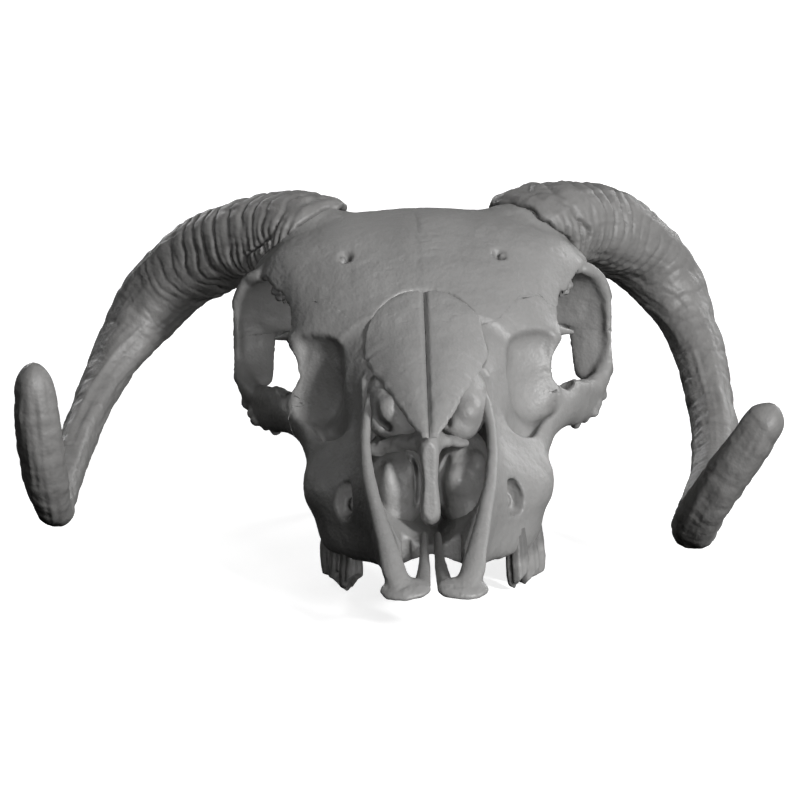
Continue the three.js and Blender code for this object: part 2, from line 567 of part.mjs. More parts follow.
for (const side of SIDES) {
  const name = side === LEFT ? "left" : "right";
  const flank = side > 0 ? [APART, 90] : [-90, -APART];
  const oneSide = prism([[-20, -5], [240, -5], [240, 130], [-20, 130]], ...flank);
  const cheek = underNasals.intersect(cheekRegion(side, APART));
  const maxilla = underNasals
    .intersect(prism(aheadOfSeam, ...flank))
    .subtract(cheekRegions)
    .subtract(fissures)
    .subtract(incisive(side, SUTURE));
  const teeth = TEETH.map((row) => tooth(row, side));
  parts.set(`maxilla_${name}`, [largest(join([largest(maxilla), ...teeth])), BONE]);
  parts.set(`zygomatic_${name}`, [largest(cheek), BONE]);
  parts.set(`incisive_${name}`, [largest(incisive(side, 0).intersect(oneSide)), BONE]);
  parts.set(`nasal_${name}`, [nasalPlate(side, 0), NASAL_BONE]);

  parts.set(`horn_${name}`, [largest(sheath(side, 0).subtract(core(side, CORE_GAP))), HORN]);
  for (const { name: concha, centre, radii, turn } of CONCHAE) {
    const [x, y, z] = centre;
    const scroll = ellipsoid([side * x, y, z], radii, turn, [10, 8]);
    parts.set(`${concha}_${name}`, [scroll, TURBINATE]);
  }
}
parts.set("vomer", [vomer().add(limb(SHELF, arrow(0, 1, 0), { steps: 7, sides: 8 })), TURBINATE]);

const skull = new THREE.Group();
for (const [name, [made, material]] of parts) {
  const { vertProperties, triVerts, numProp } = made.getMesh();
  const shape = new THREE.BufferGeometry();
  shape.setAttribute("position", new THREE.BufferAttribute(new Float32Array(vertProperties), numProp));
  shape.setIndex(new THREE.BufferAttribute(new Uint32Array(triVerts), 1));
  const mesh = new THREE.Mesh(shape, material);
  mesh.name = name;
  mesh.position.set(-MIDDLE[0], -MIDDLE[1], -FLOOR);
  skull.add(mesh);
}

export default skull;
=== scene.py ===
"""A goat's skull without its lower jaw, life size, with both curled horn sheaths on their cores.

Every form is worked out in millimetres, with the tip of the muzzle at y = 0, the middle of the skull at
x = 0, the animal's left at +x and up at +z. to_frame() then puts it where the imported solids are, in metres.
The bones are tubes and lofts that run through the named sizes below, melted into each other as signed
distances on a grid and turned back into a surface. Horns, nasal bones and teeth are grids of two parameters.
"""

import math

import bpy
import numpy as np
import openvdb
from mathutils import Matrix, Vector


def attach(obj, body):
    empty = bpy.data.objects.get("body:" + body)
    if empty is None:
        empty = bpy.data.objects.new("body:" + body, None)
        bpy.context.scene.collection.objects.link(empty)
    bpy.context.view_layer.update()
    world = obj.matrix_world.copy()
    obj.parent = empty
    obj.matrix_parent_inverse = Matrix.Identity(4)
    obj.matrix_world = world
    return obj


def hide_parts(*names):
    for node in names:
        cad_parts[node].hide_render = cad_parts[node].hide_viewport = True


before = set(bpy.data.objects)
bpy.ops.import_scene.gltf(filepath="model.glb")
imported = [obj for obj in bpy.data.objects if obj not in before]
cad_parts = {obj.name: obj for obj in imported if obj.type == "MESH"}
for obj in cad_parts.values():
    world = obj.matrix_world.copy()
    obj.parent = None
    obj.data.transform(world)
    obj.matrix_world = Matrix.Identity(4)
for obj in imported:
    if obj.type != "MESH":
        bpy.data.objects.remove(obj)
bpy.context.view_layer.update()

bl_info = {
    "name": "Goat skull",
    "version": (1, 0, 0),
    "blender": (4, 5, 0),
    "location": "3D view > Sidebar > Goat skull",
    "description": "Builds the bones, teeth and horn sheaths of a goat's skull around its solids",
    "category": "Object",
}

FLOOR = -3.0
MIDDLE = np.array([-8.7, 104.7, FLOOR])
# The animal's two sides, with the sign of x on each
SIDES = (("left", 1), ("right", -1))
# Air between the nasal bones and what they lie on, and between the two incisive bones
GAP = 0.3

# Rows of y, roof, palate, then half width and height at the nasal edge, the wall, the crest, the hollow
# under it, the alveolar edge and the gum line
FACE = [
    [20, 21, 13, 8, 20.5, 11.5, 19, 13, 17.5, 13.5, 15.5, 12.5, 13.5, 9, 12.5],
    [30, 32, 12.6, 10, 31, 15, 26, 16.5, 22, 16.5, 17.5, 14.5, 13, 10.5, 11.8],
    [46, 50, 13.5, 14, 47, 20, 38, 21, 30, 20, 21, 18.5, 12.5, 13, 11],
    [58, 60, 14.5, 16.5, 55, 21.5, 44, 26.5, 30, 26, 21, 25, 11, 17, 9.5],
    [70, 66, 15.5, 17, 61, 23, 47, 36, 29, 34.5, 20, 31.5, 10, 21, 9],
    [80, 71, 16.5, 18, 66, 25, 51, 40.5, 29, 37.5, 20, 34, 9.5, 23, 9],
    [91, 77.5, 17.5, 20, 71.5, 28.5, 57, 37.5, 37, 34, 26, 34, 9.5, 24.5, 9],
    [102, 83.5, 18.5, 23.5, 77, 34, 63, 40.5, 47.5, 33, 35, 34.5, 10.5, 25, 10],
    [112, 88.5, 20, 29, 82, 41.5, 71, 44.5, 54, 33, 40, 34, 14, 24, 13],
    [121, 92.5, 26, 33, 86, 43, 75, 41, 58, 27, 44, 28, 22, 20, 20],
]
# Rows of y, middle height, half height and half width
BRAINCASE = [
    [106, 57, 24, 22], [120, 63, 29, 20], [133, 69.5, 31, 20.5], [146, 72, 34, 27], [158, 70.5, 36, 33.5],
    [171, 66, 36, 36], [184, 59, 32, 35], [194, 53, 26, 32], [201, 48, 19, 26],
]
# Rows of y, roof, thickness, then half width and height over the foramina, on the slope and at the rim
FRONTAL = [
    [101, 83, 10, 21, 79.5, 26, 75.5, 29, 71.5], [109, 87.3, 9, 24, 84.5, 34, 79, 40, 70.5],
    [118, 92.8, 9, 26, 90.5, 38.5, 83, 43.5, 73.5], [128, 98.2, 7, 27, 96.4, 42, 89.5, 46.5, 79.5],
    [139, 102.8, 7, 29, 101.5, 46, 95, 51.5, 86.5], [149, 105.2, 7, 31, 104, 47.5, 97.5, 54.5, 89],
    [159, 105.9, 8, 32, 104.6, 46, 97, 53, 89], [169, 103.5, 9, 31, 102, 42, 95, 47, 88],
    [176, 98.5, 8, 28, 96.5, 35, 91, 38, 86],
]
# Rows of y, half width, height on the midline and fall of the outer edge
NASAL = [
    [42.5, 2.3, 53.9, 0.3], [48, 4.9, 56.6, 0.9], [56, 8, 60.6, 1.7], [65, 11.4, 65.2, 2.8],
    [74, 15, 69.8, 4.4], [83, 18.6, 74.4, 6.1], [91, 20, 78.4, 6.2], [98, 18.3, 82, 3.1],
    [104, 14.2, 85.2, 1.5], [108.2, 8.5, 87.2, 0.6], [110, 2.2, 87.9, 0.1],
]
NASAL_THICK = 2.4
NASAL_APART = 0.16
# Rows of y, half width, floor and roof of the air space
AIRWAY = [
    [2, 8, 15.5, 40], [24, 11.5, 15.5, 50], [40, 16, 16.2, 62], [56, 18.7, 17.5, 68], [68, 19, 18.5, 67.5],
    [82, 18.2, 20, 71.5], [96, 16.5, 22.5, 77], [107, 11, 28, 76],
]
# The lower edge of the opening in front of the face, as y and z
OPENING_EDGE = [[-20, 8], [6, 17], [28, 28.5], [45, 38.5], [60, 47.6], [74, 56.2], [82, 64]]
# How far back and how far to each side that opening goes, and where the palatine fissures lie
OPENING = {"back": 82.2, "half": 26}
FISSURE = {"front": 4, "back": 48, "half": 9.6, "top": 25}

# Paths on the animal's left: x, y, z, half width, half height
ORBIT_RIM = [
    [43.5, 114, 72.0, 2.2, 2.2], [45.5, 121.5, 77.0, 2.2, 2.2], [49.2, 131, 83.5, 2.2, 2.2],
    [53.6, 145, 87.4, 1.3, 1.3], [59.4, 150.4, 84.0, 1.2, 1.4], [62.7, 152.2, 77, 1.2, 1.3],
    [63.2, 152.4, 66, 1.1, 1.2], [63.2, 151, 55, 1.2, 1.4], [59.8, 146, 48.8, 2.0, 2.4],
    [54.8, 138, 48, 2.8, 3], [50.0, 127, 49.8, 2.8, 3], [44.6, 118.5, 55.5, 2.2, 2.4],
    [41.5, 114, 64.5, 1.8, 2.2],
]
# What is broken away in front of each brow, which leaves a ragged edge
BROW_BREAK = [
    [58.5, 149, 84.5, 3.6, 3.6], [54.6, 142.5, 80.5, 5.2, 5.2], [52.2, 134.5, 76, 5.2, 5.4],
    [49.0, 124.5, 69.5, 5, 6], [49.5, 117, 63, 5, 6],
]
# Crumbs and knobs of bone on each brow and under each orbit: x, y, z and radius
BROW_CRUMBS = [
    [52.2, 144.5, 87.2, 1.5], [50.2, 142, 86.0, 1.1], [48.6, 140, 85.2, 1.6], [49.4, 139.4, 82.8, 1.4],
    [47.6, 137.6, 84.2, 1.2], [47.9, 136.6, 81.4, 1.6], [46.2, 133.4, 80.6, 1.0], [45.6, 130.5, 78.2, 1.4],
    [44.2, 126.5, 75.8, 1.1],
]
CHEEK_LUMPS = [
    [58.4, 141, 41.4, 1.6], [57.0, 138, 39.4, 1.9], [53.8, 135.5, 37.8, 1.5], [60.6, 146, 43.2, 1.3],
    [50.2, 128, 37.6, 1.6],
]
# The spike of each brow, the bar and thin wall behind each orbit
BROW_SPIKE = [[40.5, 114.5, 72, 2.8, 2.4], [44.6, 119.5, 71.2, 2.2, 1.8], [50, 123.5, 69.8, 0.5, 0.5]]
POSTORBITAL_BAR = [
    [52.6, 147, 88.6, 3.4, 2.0], [54.2, 150.6, 85.6, 5.6, 1.8], [55.7, 153.8, 80.5, 7.4, 1.6],
    [56.4, 155.8, 74, 7.9, 1.5], [56.8, 156.2, 67, 7.7, 1.5], [57.2, 155.4, 60, 7.3, 1.6],
    [57.4, 152.6, 53.5, 6.6, 2.0], [56.8, 148.5, 48, 5.4, 2.6],
]
POSTORBITAL_WALL = [
    [45, 154, 95, 12, 2.2], [45, 158.5, 84, 12, 1.8], [44.5, 160, 75, 11.5, 1.6],
    [44.5, 160, 69, 10.5, 1.5], [44, 159.5, 65.4, 8, 1.3],
]
# The hollow in front of each orbit: two ellipsoids, each with how far it melts into the form before it
LACRIMAL_HOLLOW = [
    ([[37.0, 101.0, 60], [12.5, 6.6, 14.0], [0, 0, 0.56]], 0),
    ([[31.0, 88.0, 51], [10, 3.4, 12], [0, 0, 1.05]], 8),
]
LACRIMAL_BLOCK = {"middle": [36, 94, 56], "reach": [22, 30, 30]}
LACRIMAL_LIP = [
    [29.4, 98.5, 68.6, 3.8, 4], [34, 102.4, 69.4, 4.2, 4.4], [39.5, 106.6, 69.4, 4, 4.2],
    [44, 110.5, 68, 3, 3.4],
]
# Which way the width of the bar and wall behind each orbit runs
BAR_ACROSS = [0.93, -0.36, 0]
CHEEK = [
    [36, 80, 28.5, 4, 4.5], [34.5, 92, 36, 5, 6], [37.5, 104, 43.5, 6, 7], [44.5, 116, 46.5, 5.5, 7.4],
    [50.6, 128, 44.5, 4, 7], [55, 139, 43.2, 3.2, 5.2], [59, 149, 46.5, 2.4, 4.0],
]
ZYGOMATIC_ARCH = [
    [57.5, 141, 45.5, 2.4, 5.4], [60.4, 152, 48.5, 2.3, 5.2], [60.2, 164, 53, 2.2, 4.8],
    [57.5, 175, 58.5, 2.8, 4.4], [49, 183, 63, 4.6, 4.4], [35, 187, 62.5, 8, 5],
]
JAW_SOCKET = [[47.5, 177, 61, 5, 2.4], [40, 178, 57, 6.6, 3], [30, 180, 52, 6, 4]]
NUCHAL_CREST = [
    [34, 186, 58, 3, 2.6], [33, 193, 66, 3, 2.6], [24, 198, 73.5, 3, 2.8], [-2, 199.5, 76.5, 3, 3],
]
PARACONDYLAR = [
    [24, 194, 44, 9, 5], [26.5, 195, 30, 8, 3.8], [27.5, 194, 17, 6.4, 3], [27.4, 191.5, 6, 5, 2.6],
    [27, 190, -1.6, 4.2, 2.4],
]
PTERYGOID_PLATE = [
    [13, 112, 26, 1.8, 8], [11, 124, 30, 1.7, 9.5], [10, 136, 33, 1.7, 9], [9.5, 147, 37.5, 1.6, 6.5],
]
BASE_BAR = [[0, 140, 42, 8, 5], [0, 160, 38, 9, 5], [0, 180, 35, 10, 5], [0, 200, 35, 12, 5]]
# The horn cores by side, as x, y, z and the half widths outwards and in the curl
HORN_CORE = {
    1: [
        [28, 154, 91, 14, 12], [33, 160, 96.5, 15.5, 12.5], [44, 170, 98, 14.5, 11.8],
        [56, 180, 95.6, 12.5, 10],
    ],
    -1: [
        [-29, 154, 91, 14, 12], [-34, 160, 96, 15.5, 12.5], [-45.5, 171, 96.2, 14.5, 11.8],
        [-58, 181.5, 92.8, 12.5, 10],
    ],
}
# Ellipsoids on the animal's left or on the midline: centre, half widths, and turns about x, y and z
ORBIT = [[48.5, 134.5, 66.5], [28, 17.8, 16.6], [0, 0, -0.42]]
TEMPORAL_HOLLOW = [[43, 154, 62], [12, 18, 13], [0, 0, 0]]
CHEEK_WINDOW = [[45.9, 121, 60.6], [5.9, 15, 9.0], [0, 0, 0]]
EAR_BULLA = [[20, 178, 34], [8.5, 13, 11], [0, 0, 0]]
CONDYLE = [[11, 203, 40], [7, 7.5, 10.5], [0, 0.5, 0]]
EAR_OPENING_SWELL = [[32, 181, 54], [6, 10, 9], [0, 0, 0]]
NOSE_FLOOR_SWELL = [[12.5, 59, 18.5], [8.0, 15, 5.4], [0.32, -0.3, 0]]
SPINAL_OPENING = [[0, 206, 43.5], [8.5, 24, 8.5], [0, 0, 0]]
REAR_NOSE_OPENING = [[0, 128, 32], [8.6, 26, 11], [0.3, 0, 0]]
BROW_FORAMEN = [[25.6, 127, 99], [2.7, 3.0, 6], [0, 0, 0]]
BROW_FORAMEN_BUMP = [[26.4, 128.2, 94.2], [1.3, 1.2, 2.0], [0, 0, 0]]
CHEEK_FORAMEN = [[27.5, 59, 29], [4.2, 7.5, 6.4], [0.4, 0, 0.6]]
CHEEK_FORAMEN_BUMP = [[24.6, 64.5, 27.0], [1.3, 2.5, 2.0], [0, 0, 0]]
# The furrow that runs down from each foramen of the brow
BROW_FURROW = [[26, 123, 97.2, 2.4, 1.2], [25.4, 114, 91.4, 2.2, 0.8], [24.4, 106, 86.6, 1.6, 0.5]]
# A point and the direction of the plane that a sheath's rim lies in, and the axis it curls about
HORN_MOUTH = {"at": [38, 165, 98], "facing": [0.56, 0.4, 0.72]}
CURL_AXIS = [0.86, -0.5, 0]
# The lip of a sheath at its mouth, from its edge inwards: how far under the skin and how far from the rim
HORN_LIP = [
    [0.25, -0.35], [0.9, -0.55], [1.7, -0.3], [2.3, 0.5], [2.6, 2.5], [2.8, 6.0], [3.0, 12.0], [5.5, 20.0],
]
# Centre line of each sheath from its base to its tip: x, y, z, half width outwards, half width in the curl
HORN_SHEATH = {
    1: [
        [27, 157, 92, 16, 13.4], [40.5, 167, 98, 17.5, 14.4], [53, 178, 97.6, 17.8, 14.3],
        [67.4, 190, 91, 16.5, 14], [79.2, 197, 81, 14.3, 11.5], [88.2, 198, 70, 10.8, 12],
        [93.8, 193, 59, 9.2, 12], [97.2, 182, 47.5, 8.7, 11.5], [98.8, 166, 36, 8.2, 10.5],
        [98.8, 148, 27, 7.8, 9.5], [96.8, 128, 19, 7.6, 8.4], [91.2, 108, 12.2, 7.4, 7.4],
        [86.6, 91, 10.4, 7.2, 7], [89.3, 78, 20, 7.4, 7.6], [96.4, 69, 33, 7.4, 7.6],
        [103.5, 64.5, 45, 7, 7], [108.2, 63, 53, 6, 6], [110.4, 62.5, 57, 4.4, 4.4],
    ],
    -1: [
        [-28, 157, 92, 16, 13.4], [-42.5, 168.5, 97, 17.5, 14.4], [-58, 180, 94.2, 17.5, 13.9],
        [-74.6, 191, 86, 16, 13.4], [-88, 197, 75.3, 13.8, 11.2], [-98.2, 197, 63.8, 10.4, 11.8],
        [-106, 191, 53, 8.3, 11.6], [-112.3, 180, 42.5, 7.3, 11], [-117, 165, 33.5, 6.5, 10],
        [-120, 148, 26.8, 6, 9], [-121.6, 128, 21.4, 5.6, 7.8], [-122.2, 108, 18.6, 5.2, 6.2],
        [-122.8, 91, 22.4, 6, 6.6], [-123.6, 78, 35.5, 7, 7], [-124.4, 70.5, 50, 7.2, 7.2],
        [-125, 67.5, 65, 6.2, 6.2], [-125.2, 67, 75, 4.2, 4.4],
    ],
}
# Paths of the incisive bones' rods, ledges and palatine strips, and ellipsoids of their blades
INCISIVE_ROD = [
    [9.5, 3.5, 14.6, 4, 2], [11.8, 9, 18, 4.6, 2.6], [13.6, 17, 23, 3.9, 2.5], [16.6, 31, 31, 2.9, 2.4],
    [19.2, 45, 39.4, 2.5, 2.3], [20.2, 60, 48.6, 2.1, 2.2], [18.8, 73, 57, 1.9, 2],
    [17.2, 80, 62, 1.3, 1.4],
]
INCISIVE_LEDGE = [
    [9.2, 6, 14.2, 2, 1], [11, 20, 17, 1.8, 1.1], [13.2, 34, 22, 2.4, 1.2], [15.2, 47, 28, 2.6, 1.3],
]
INCISIVE_BLADE = [[8.8, 4.2, 14.2], [7.8, 5.6, 2.1], [0.35, 0.06, 0]]
INCISIVE_CUP = [[8.8, 3.0, 10.0], [5.6, 4.2, 3.2], [0.2, 0, 0]]
INCISIVE_NOTCH = [[7.3, 11.7, 13.0], [1.3, 3.5, 1.5], [0, 0, 0]]
PALATINE_BAR = [
    [4.6, 4, 13.6, 3, 2], [3.6, 12, 13.8, 2.6, 1.8], [2.7, 28, 14.6, 1.9, 1.6], [2.3, 44, 16, 1.5, 1.5],
    [2.1, 56, 18.6, 1.3, 1.5],
]
# Rows of y, half width, low edge and high edge
VOMER = [
    [47.4, 1.8, 25.4, 50.4], [48.6, 2.8, 23.8, 51.4], [51, 3.1, 22.6, 53.2], [55, 2.9, 21.4, 55.6],
    [60, 2.6, 20.6, 58.3], [76, 1.8, 20.6, 66], [96, 1.6, 24, 73],
]
SHELF = [
    [-19, 66, 44.6, 3.4, 2.6], [-9, 61, 47.4, 3, 2.3], [0, 57, 48.6, 3.4, 2.2], [8, 61.5, 47.6, 2.4, 1.5],
    [12.5, 65, 45.6, 1.3, 1.1],
]
# The scrolls in the nose: an ellipsoid, then for each side its swells (place from the middle, half widths)
# and furrows (rows of place from the middle and half widths)
CONCHAE = {
    "dorsal_concha": {
        "centre": [10.2, 79, 57.6], "radii": [9.6, 19, 9.6], "turn": [0.42, 0, 0],
        "swells": {
            1: [[2.4, -13.8, -1.2, 4.0, 4.5, 3.6], [-2, -11, -5.4, 4.6, 6, 3]],
            -1: [[-1.8, -13.8, -0.5, 4.6, 4.5, 4.6], [-4.4, -11.5, -5.4, 4.0, 6, 3]],
        },
        "furrows": {
            1: [[[-4.6, -14.5, 4.5, 1.0, 2.4], [-4.2, -16.6, -0.5, 0.9, 2.6], [-3.8, -16.5, -5.5, 0.8, 2.4]]],
            -1: [[[-6.8, -12, 2.6, 0.9, 2], [-5.6, -15.5, -2.5, 1.0, 2.4], [-1.6, -17, -6.0, 0.9, 2]]],
        },
    },
    "ventral_concha": {
        "centre": [10.6, 80, 32], "radii": [10.8, 22, 15.6], "turn": [0.12, 0, 0],
        "swells": {
            1: [[-1.8, -19.0, 2.5, 3.8, 4.5, 4.6], [4.2, -15, 7, 3.5, 5, 4], [1.5, -15.5, -8.5, 7, 7, 5]],
            -1: [[-2.4, -18.6, 2.0, 2.8, 4.4, 6.6], [4.0, -15.5, 6, 3.4, 4, 4], [-1.5, -15.5, -8.5, 7, 7, 5]],
        },
        "furrows": {
            1: [[[-4.6, -14.5, 10.5, 1.2, 2.4], [-6.6, -17.0, 3, 1.1, 2.8], [-6.2, -17.0, -6, 0.9, 2.4]]],
            -1: [[[4.6, -14.5, 10.5, 1.2, 2.4], [6.6, -17.0, 3, 1.1, 2.8], [6.2, -17.0, -6, 0.9, 2.4]]],
        },
    },
}

# Cheek teeth: x, y, half width across and along, height of the bone's edge over the floor, and wear
TEETH = [
    [26.6, 64.8, 3.5, 3.7, 12, 0.8], [29.6, 73.6, 3.9, 4.1, 12, 0.2], [30.6, 84, 5.2, 5.6, 12, 0],
    [30.9, 96.4, 5.4, 6.3, 12, 0], [30.4, 110, 5, 6.4, 14, 0],
]
# How far both tooth rows lie to the animal's left, and how far a tooth reaches up into the bone
ROW_SHIFT = 1.1
TOOTH_ROOT = 9
# Rings that close the low end of a tooth: how far in and how far up
TOOTH_CAP = [[0.7, 0.66], [0.35, 0.3]]
# How much is broken off the low ends of the first two teeth and of the others
TOOTH_BREAK = [5.5, 5.5, 1.5, 1.5, 1.5]
# Where the bones part: y along the height z
SEAM = [[126, -5], [123, 38], [119, 47], [119, 60], [127, 66], [127, 75], [119, 81], [119, 130]]
# The suture under each frontal: half width and height
FRONTAL_SEAM = [[0, 79], [17, 77], [24, 79], [31, 84], [38, 84], [44, 80], [52, 78], [70, 78]]
# Where the cheek bones part from the maxillas, and the box they lie in
CHEEK_SEAM = [[104, 20], [104, 36], [108, 52], [116, 64.5]]
CHEEK_REGION = {"from": 36, "end": 168, "top": 65}
# The line in y and z where the frontals part from the braincase, and the sides that stay with the frontals
BROW_LINE = [[106, 50], [180, 100]]
BROW_SIDE = {"from": 40, "end": 165}
# How far each bone of the skull reaches past a seam into its neighbour
OVERLAP = 0.4
# Edges that turn by more than this many degrees are shaded sharp
SHARP_EDGE = 52

# Corners of the two blocks that hold the bone: a fine one for all but the braincase, and one for that
FRONT_BLOCK = [(-64, 16, -6), (64, 190, 114)]
BACK_BLOCK = [(-64, 100, -6), (64, 214, 114)]
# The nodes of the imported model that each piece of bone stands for
NODES_OF = {
    "zygomatic_left": ["zygomatic_left"], "zygomatic_right": ["zygomatic_right"],
    "maxilla_left": ["maxilla_left"], "maxilla_right": ["maxilla_right"],
    "frontals": ["cranium"], "braincase": ["cranium"],
}

# The camera: degrees above level, round and over, then metres away and the width in metres that it sees there
VIEW = {"above": 12, "round": -0.4, "over": 1.2, "away": 1.3, "seen": 0.264}
LOOKED_AT = (0.0002, 0.0053, 0.054)
# Lights: name, place in metres, watts and width in metres
LIGHTS = [
    ("key", (1.4, -1.8, 0.95), 68.0, 0.4), ("front", (1.15, -2.1, 0.55), 24.0, 0.3),
    ("top", (0.2, 0.3, 2.2), 5.0, 1.0), ("back_left", (-0.9, 2.1, 0.9), 15.0, 0.8),
    ("back_right", (1.5, 1.8, 0.8), 15.0, 0.8), ("side_left", (-2.3, 0.7, 0.9), 6.0, 0.8),
]


def through(table, y):
    """Rows of a table's values at the stations y: a cubic through every column, 2t³-3t²+1 and its kin,
    with the slope at a station taken from the stations on both sides of it."""
    table = np.asarray(table, float)
    stations, values = table[:, 0], table[:, 1:]
    order = np.arange(len(stations))
    before, after = np.maximum(order - 1, 0), np.minimum(order + 1, len(order) - 1)
    slope = (values[after] - values[before]) / (stations[after] - stations[before])[:, None]
    i = np.clip(np.searchsorted(stations, y, side="right") - 1, 0, len(order) - 2)
    span = (stations[i + 1] - stations[i])[:, None]
    t = (np.asarray(y)[:, None] - stations[i][:, None]) / span
    flat = (1 + 2 * t) * (1 - t) ** 2 * values[i] + t**2 * (3 - 2 * t) * values[i + 1]
    return flat + span * (t * (1 - t) ** 2 * slope[i] - t**2 * (1 - t) * slope[i + 1])


def spline(points, t, closed=False):
    """Points at places t from 0 to 1 on a smooth curve through points (..., n, 3): a Catmull-Rom curve whose
    steps are the square roots of the distances between its points."""
    p = np.asarray(points, float)
    n = p.shape[-2]
    if closed:
        place = np.asarray(t, float) * n
        i = np.floor(place).astype(int)
        four = [p[..., (i + k) % n, :] for k in (-1, 0, 1, 2)]
    else:
        ends = [2 * p[..., :1, :] - p[..., 1:2, :], p, 2 * p[..., -1:, :] - p[..., -2:-1, :]]
        p = np.concatenate(ends, axis=-2)
        place = np.asarray(t, float) * (n - 1)
        i = np.clip(np.floor(place).astype(int), 0, n - 2)
        four = [p[..., i + k, :] for k in (0, 1, 2, 3)]
    f = (place - i)[:, None]
    a, b, c, d = four
    gaps = [np.linalg.norm(v, axis=-1, keepdims=True) for v in (b - a, c - b, d - c)]
    root = [np.maximum(np.sqrt(gap), 1e-3) for gap in gaps]
    start = ((b - a) / root[0] - (c - a) / (root[0] + root[1]) + (c - b) / root[1]) * root[1]
    stop = ((c - b) / root[1] - (d - b) / (root[1] + root[2]) + (d - c) / root[2]) * root[1]
    rise = (1 + 2 * f) * (1 - f) ** 2 * b + f**2 * (3 - 2 * f) * c
    return rise + f * (1 - f) ** 2 * start - f**2 * (1 - f) * stop


def unit(v):
    """Vectors of length 1 in the directions v."""
    return v / np.maximum(np.linalg.norm(v, axis=-1, keepdims=True), 1e-9)


def direction(points, t, reach):
    """Which way the smooth curve through points runs at the places t: from a reach before to one after."""
    return unit(spline(points, np.clip(t + reach, 0, 1)) - spline(points, np.clip(t - reach, 0, 1)))


def noise(points, scale, seed):
    """Smooth random values from -1 to 1 at points (n, 3): random numbers on a lattice of that scale in mm,
    mixed between its corners by 3t²-2t³."""
    p = np.asarray(points, float) / scale
    cell = np.floor(p).astype(np.int64)
    f = p - cell
    f = f * f * (3 - 2 * f)
    values = np.random.default_rng(seed).uniform(-1, 1, 8192).astype(np.float32)
    total = np.zeros(len(p), np.float32)
    for corner in np.ndindex(2, 2, 2):
        at = cell + np.array(corner)
        key = (at[:, 0] * 73856093) ^ (at[:, 1] * 19349663) ^ (at[:, 2] * 83492791)
        weight = np.prod(np.where(np.array(corner) == 1, f, 1 - f), axis=1)
        total += weight.astype(np.float32) * values[key & 8191]
    return total


def layers(points, scale, seed, count=3):
    """Noise at a scale, plus half as much at half the scale, and so on."""
    return sum(noise(points, scale / 2**k, seed + k) / 2**k for k in range(count))


def loft(rings):
    """A closed surface through rings (m, n, 3): quads between neighbouring rings, and fans from the middle
    of the first and of the last."""
    m, n, _ = rings.shape
    points = np.concatenate([rings.reshape(-1, 3), rings[:1].mean(1), rings[-1:].mean(1)])
    i, j = [v.ravel() for v in np.mgrid[0 : m - 1, 0:n]]
    k = (j + 1) % n
    quads = np.stack([i * n + j, i * n + k, (i + 1) * n + k, (i + 1) * n + j], -1)
    j = np.arange(n)
    k = (j + 1) % n
    first = np.stack([np.full(n, m * n), k, j], -1)
    last = np.stack([np.full(n, m * n + 1), (m - 1) * n + j, (m - 1) * n + k], -1)
    return points, quads, np.concatenate([first, last])


def mirrored(path, side):
    """A path's rows with x turned to the other side for the animal's right."""
    rows = np.array(path, float)
    rows[:, 0] *= side
    return rows


def tube(path, across, sides=28, step=1.0, grow=0.0):
    """A flattened tube: centre(t) + wide·a(t)·cos(angle) + high·b(t)·sin(angle), where the rows of path are
    x, y, z, a, b, wide is across made square to the path, and high is square to both. At each end the
    widths fall as a quarter circle does."""
    rows = np.asarray(path, float)
    length = np.linalg.norm(np.diff(rows[:, :3], axis=0), axis=1).sum()
    count = max(12, int(length / step))
    close = np.geomspace(0.002, 0.1, 7)
    t = np.unique(np.concatenate([np.linspace(0, 1, count), close, 1 - close]))
    centre = spline(rows[:, :3], t)
    along = direction(rows[:, :3], t, 1e-3)
    stations = np.column_stack([np.arange(len(rows)), rows[:, 3:5]])
    size = through(stations, t * (len(rows) - 1)) + grow
    travelled = np.concatenate([[0], np.cumsum(np.linalg.norm(np.diff(centre, axis=0), axis=1))])
    from_end = np.minimum(travelled, travelled[-1] - travelled)
    near = np.clip(from_end / size.mean(1), 0, 1)
    size = size * np.maximum(np.sqrt(1 - (1 - near) ** 2), 0.2)[:, None]
    across = np.asarray(across, float)
    wide = unit(across - along * (along @ across)[:, None])
    high = np.cross(along, wide)
    angle = 2 * np.pi * np.arange(sides) / sides
    ring = centre[:, None] + wide[:, None] * (size[:, :1] * np.cos(angle))[..., None]
    return loft(ring + high[:, None] * (size[:, 1:] * np.sin(angle))[..., None])


def mirrored_rings(y, half, around):
    """Smooth closed rings at the stations y, from the outline (m, k, 2) of the left half as x and z, whose
    first and last points are on the midline."""
    mirror = half[:, -2:0:-1] * [-1, 1]
    outline = np.concatenate([half, mirror], axis=1)
    outline = np.stack([outline[..., 0], np.broadcast_to(y[:, None], outline.shape[:2]), outline[..., 1]], -1)
    return spline(outline, np.arange(around) / around, closed=True)


def between(table, step):
    """Stations from a table's first y to its last, a step apart."""
    first, last = table[0][0], table[-1][0]
    return np.linspace(first, last, int(abs(last - first) / step) + 2)


def face_surface():
    """The solid face: rings across it through the nasal edge, wall, crest, hollow, alveolar edge and gum."""
    y = between(FACE, 1.0)
    rows = through(FACE, y)
    top = np.column_stack([0 * y, rows[:, 0]])[:, None]
    palate = np.column_stack([0 * y, rows[:, 1]])[:, None]
    side = rows[:, 2:].reshape(len(y), 6, 2)
    return loft(mirrored_rings(y, np.concatenate([top, side, palate], axis=1), 120))


def braincase_surface():
    """The braincase: ellipses across it, swollen by 6% where sin²(2·angle) is greatest."""
    y = between(BRAINCASE, 1.5)
    middle, high, wide = through(BRAINCASE, y).T[..., None]
    angle = 2 * np.pi * np.arange(96) / 96
    bulge = 1 + 0.06 * np.sin(2 * angle) ** 2
    x, z = wide * bulge * np.sin(angle), middle + high * bulge * np.cos(angle)
    return loft(np.stack([x, np.broadcast_to(y[:, None], x.shape), z], -1))


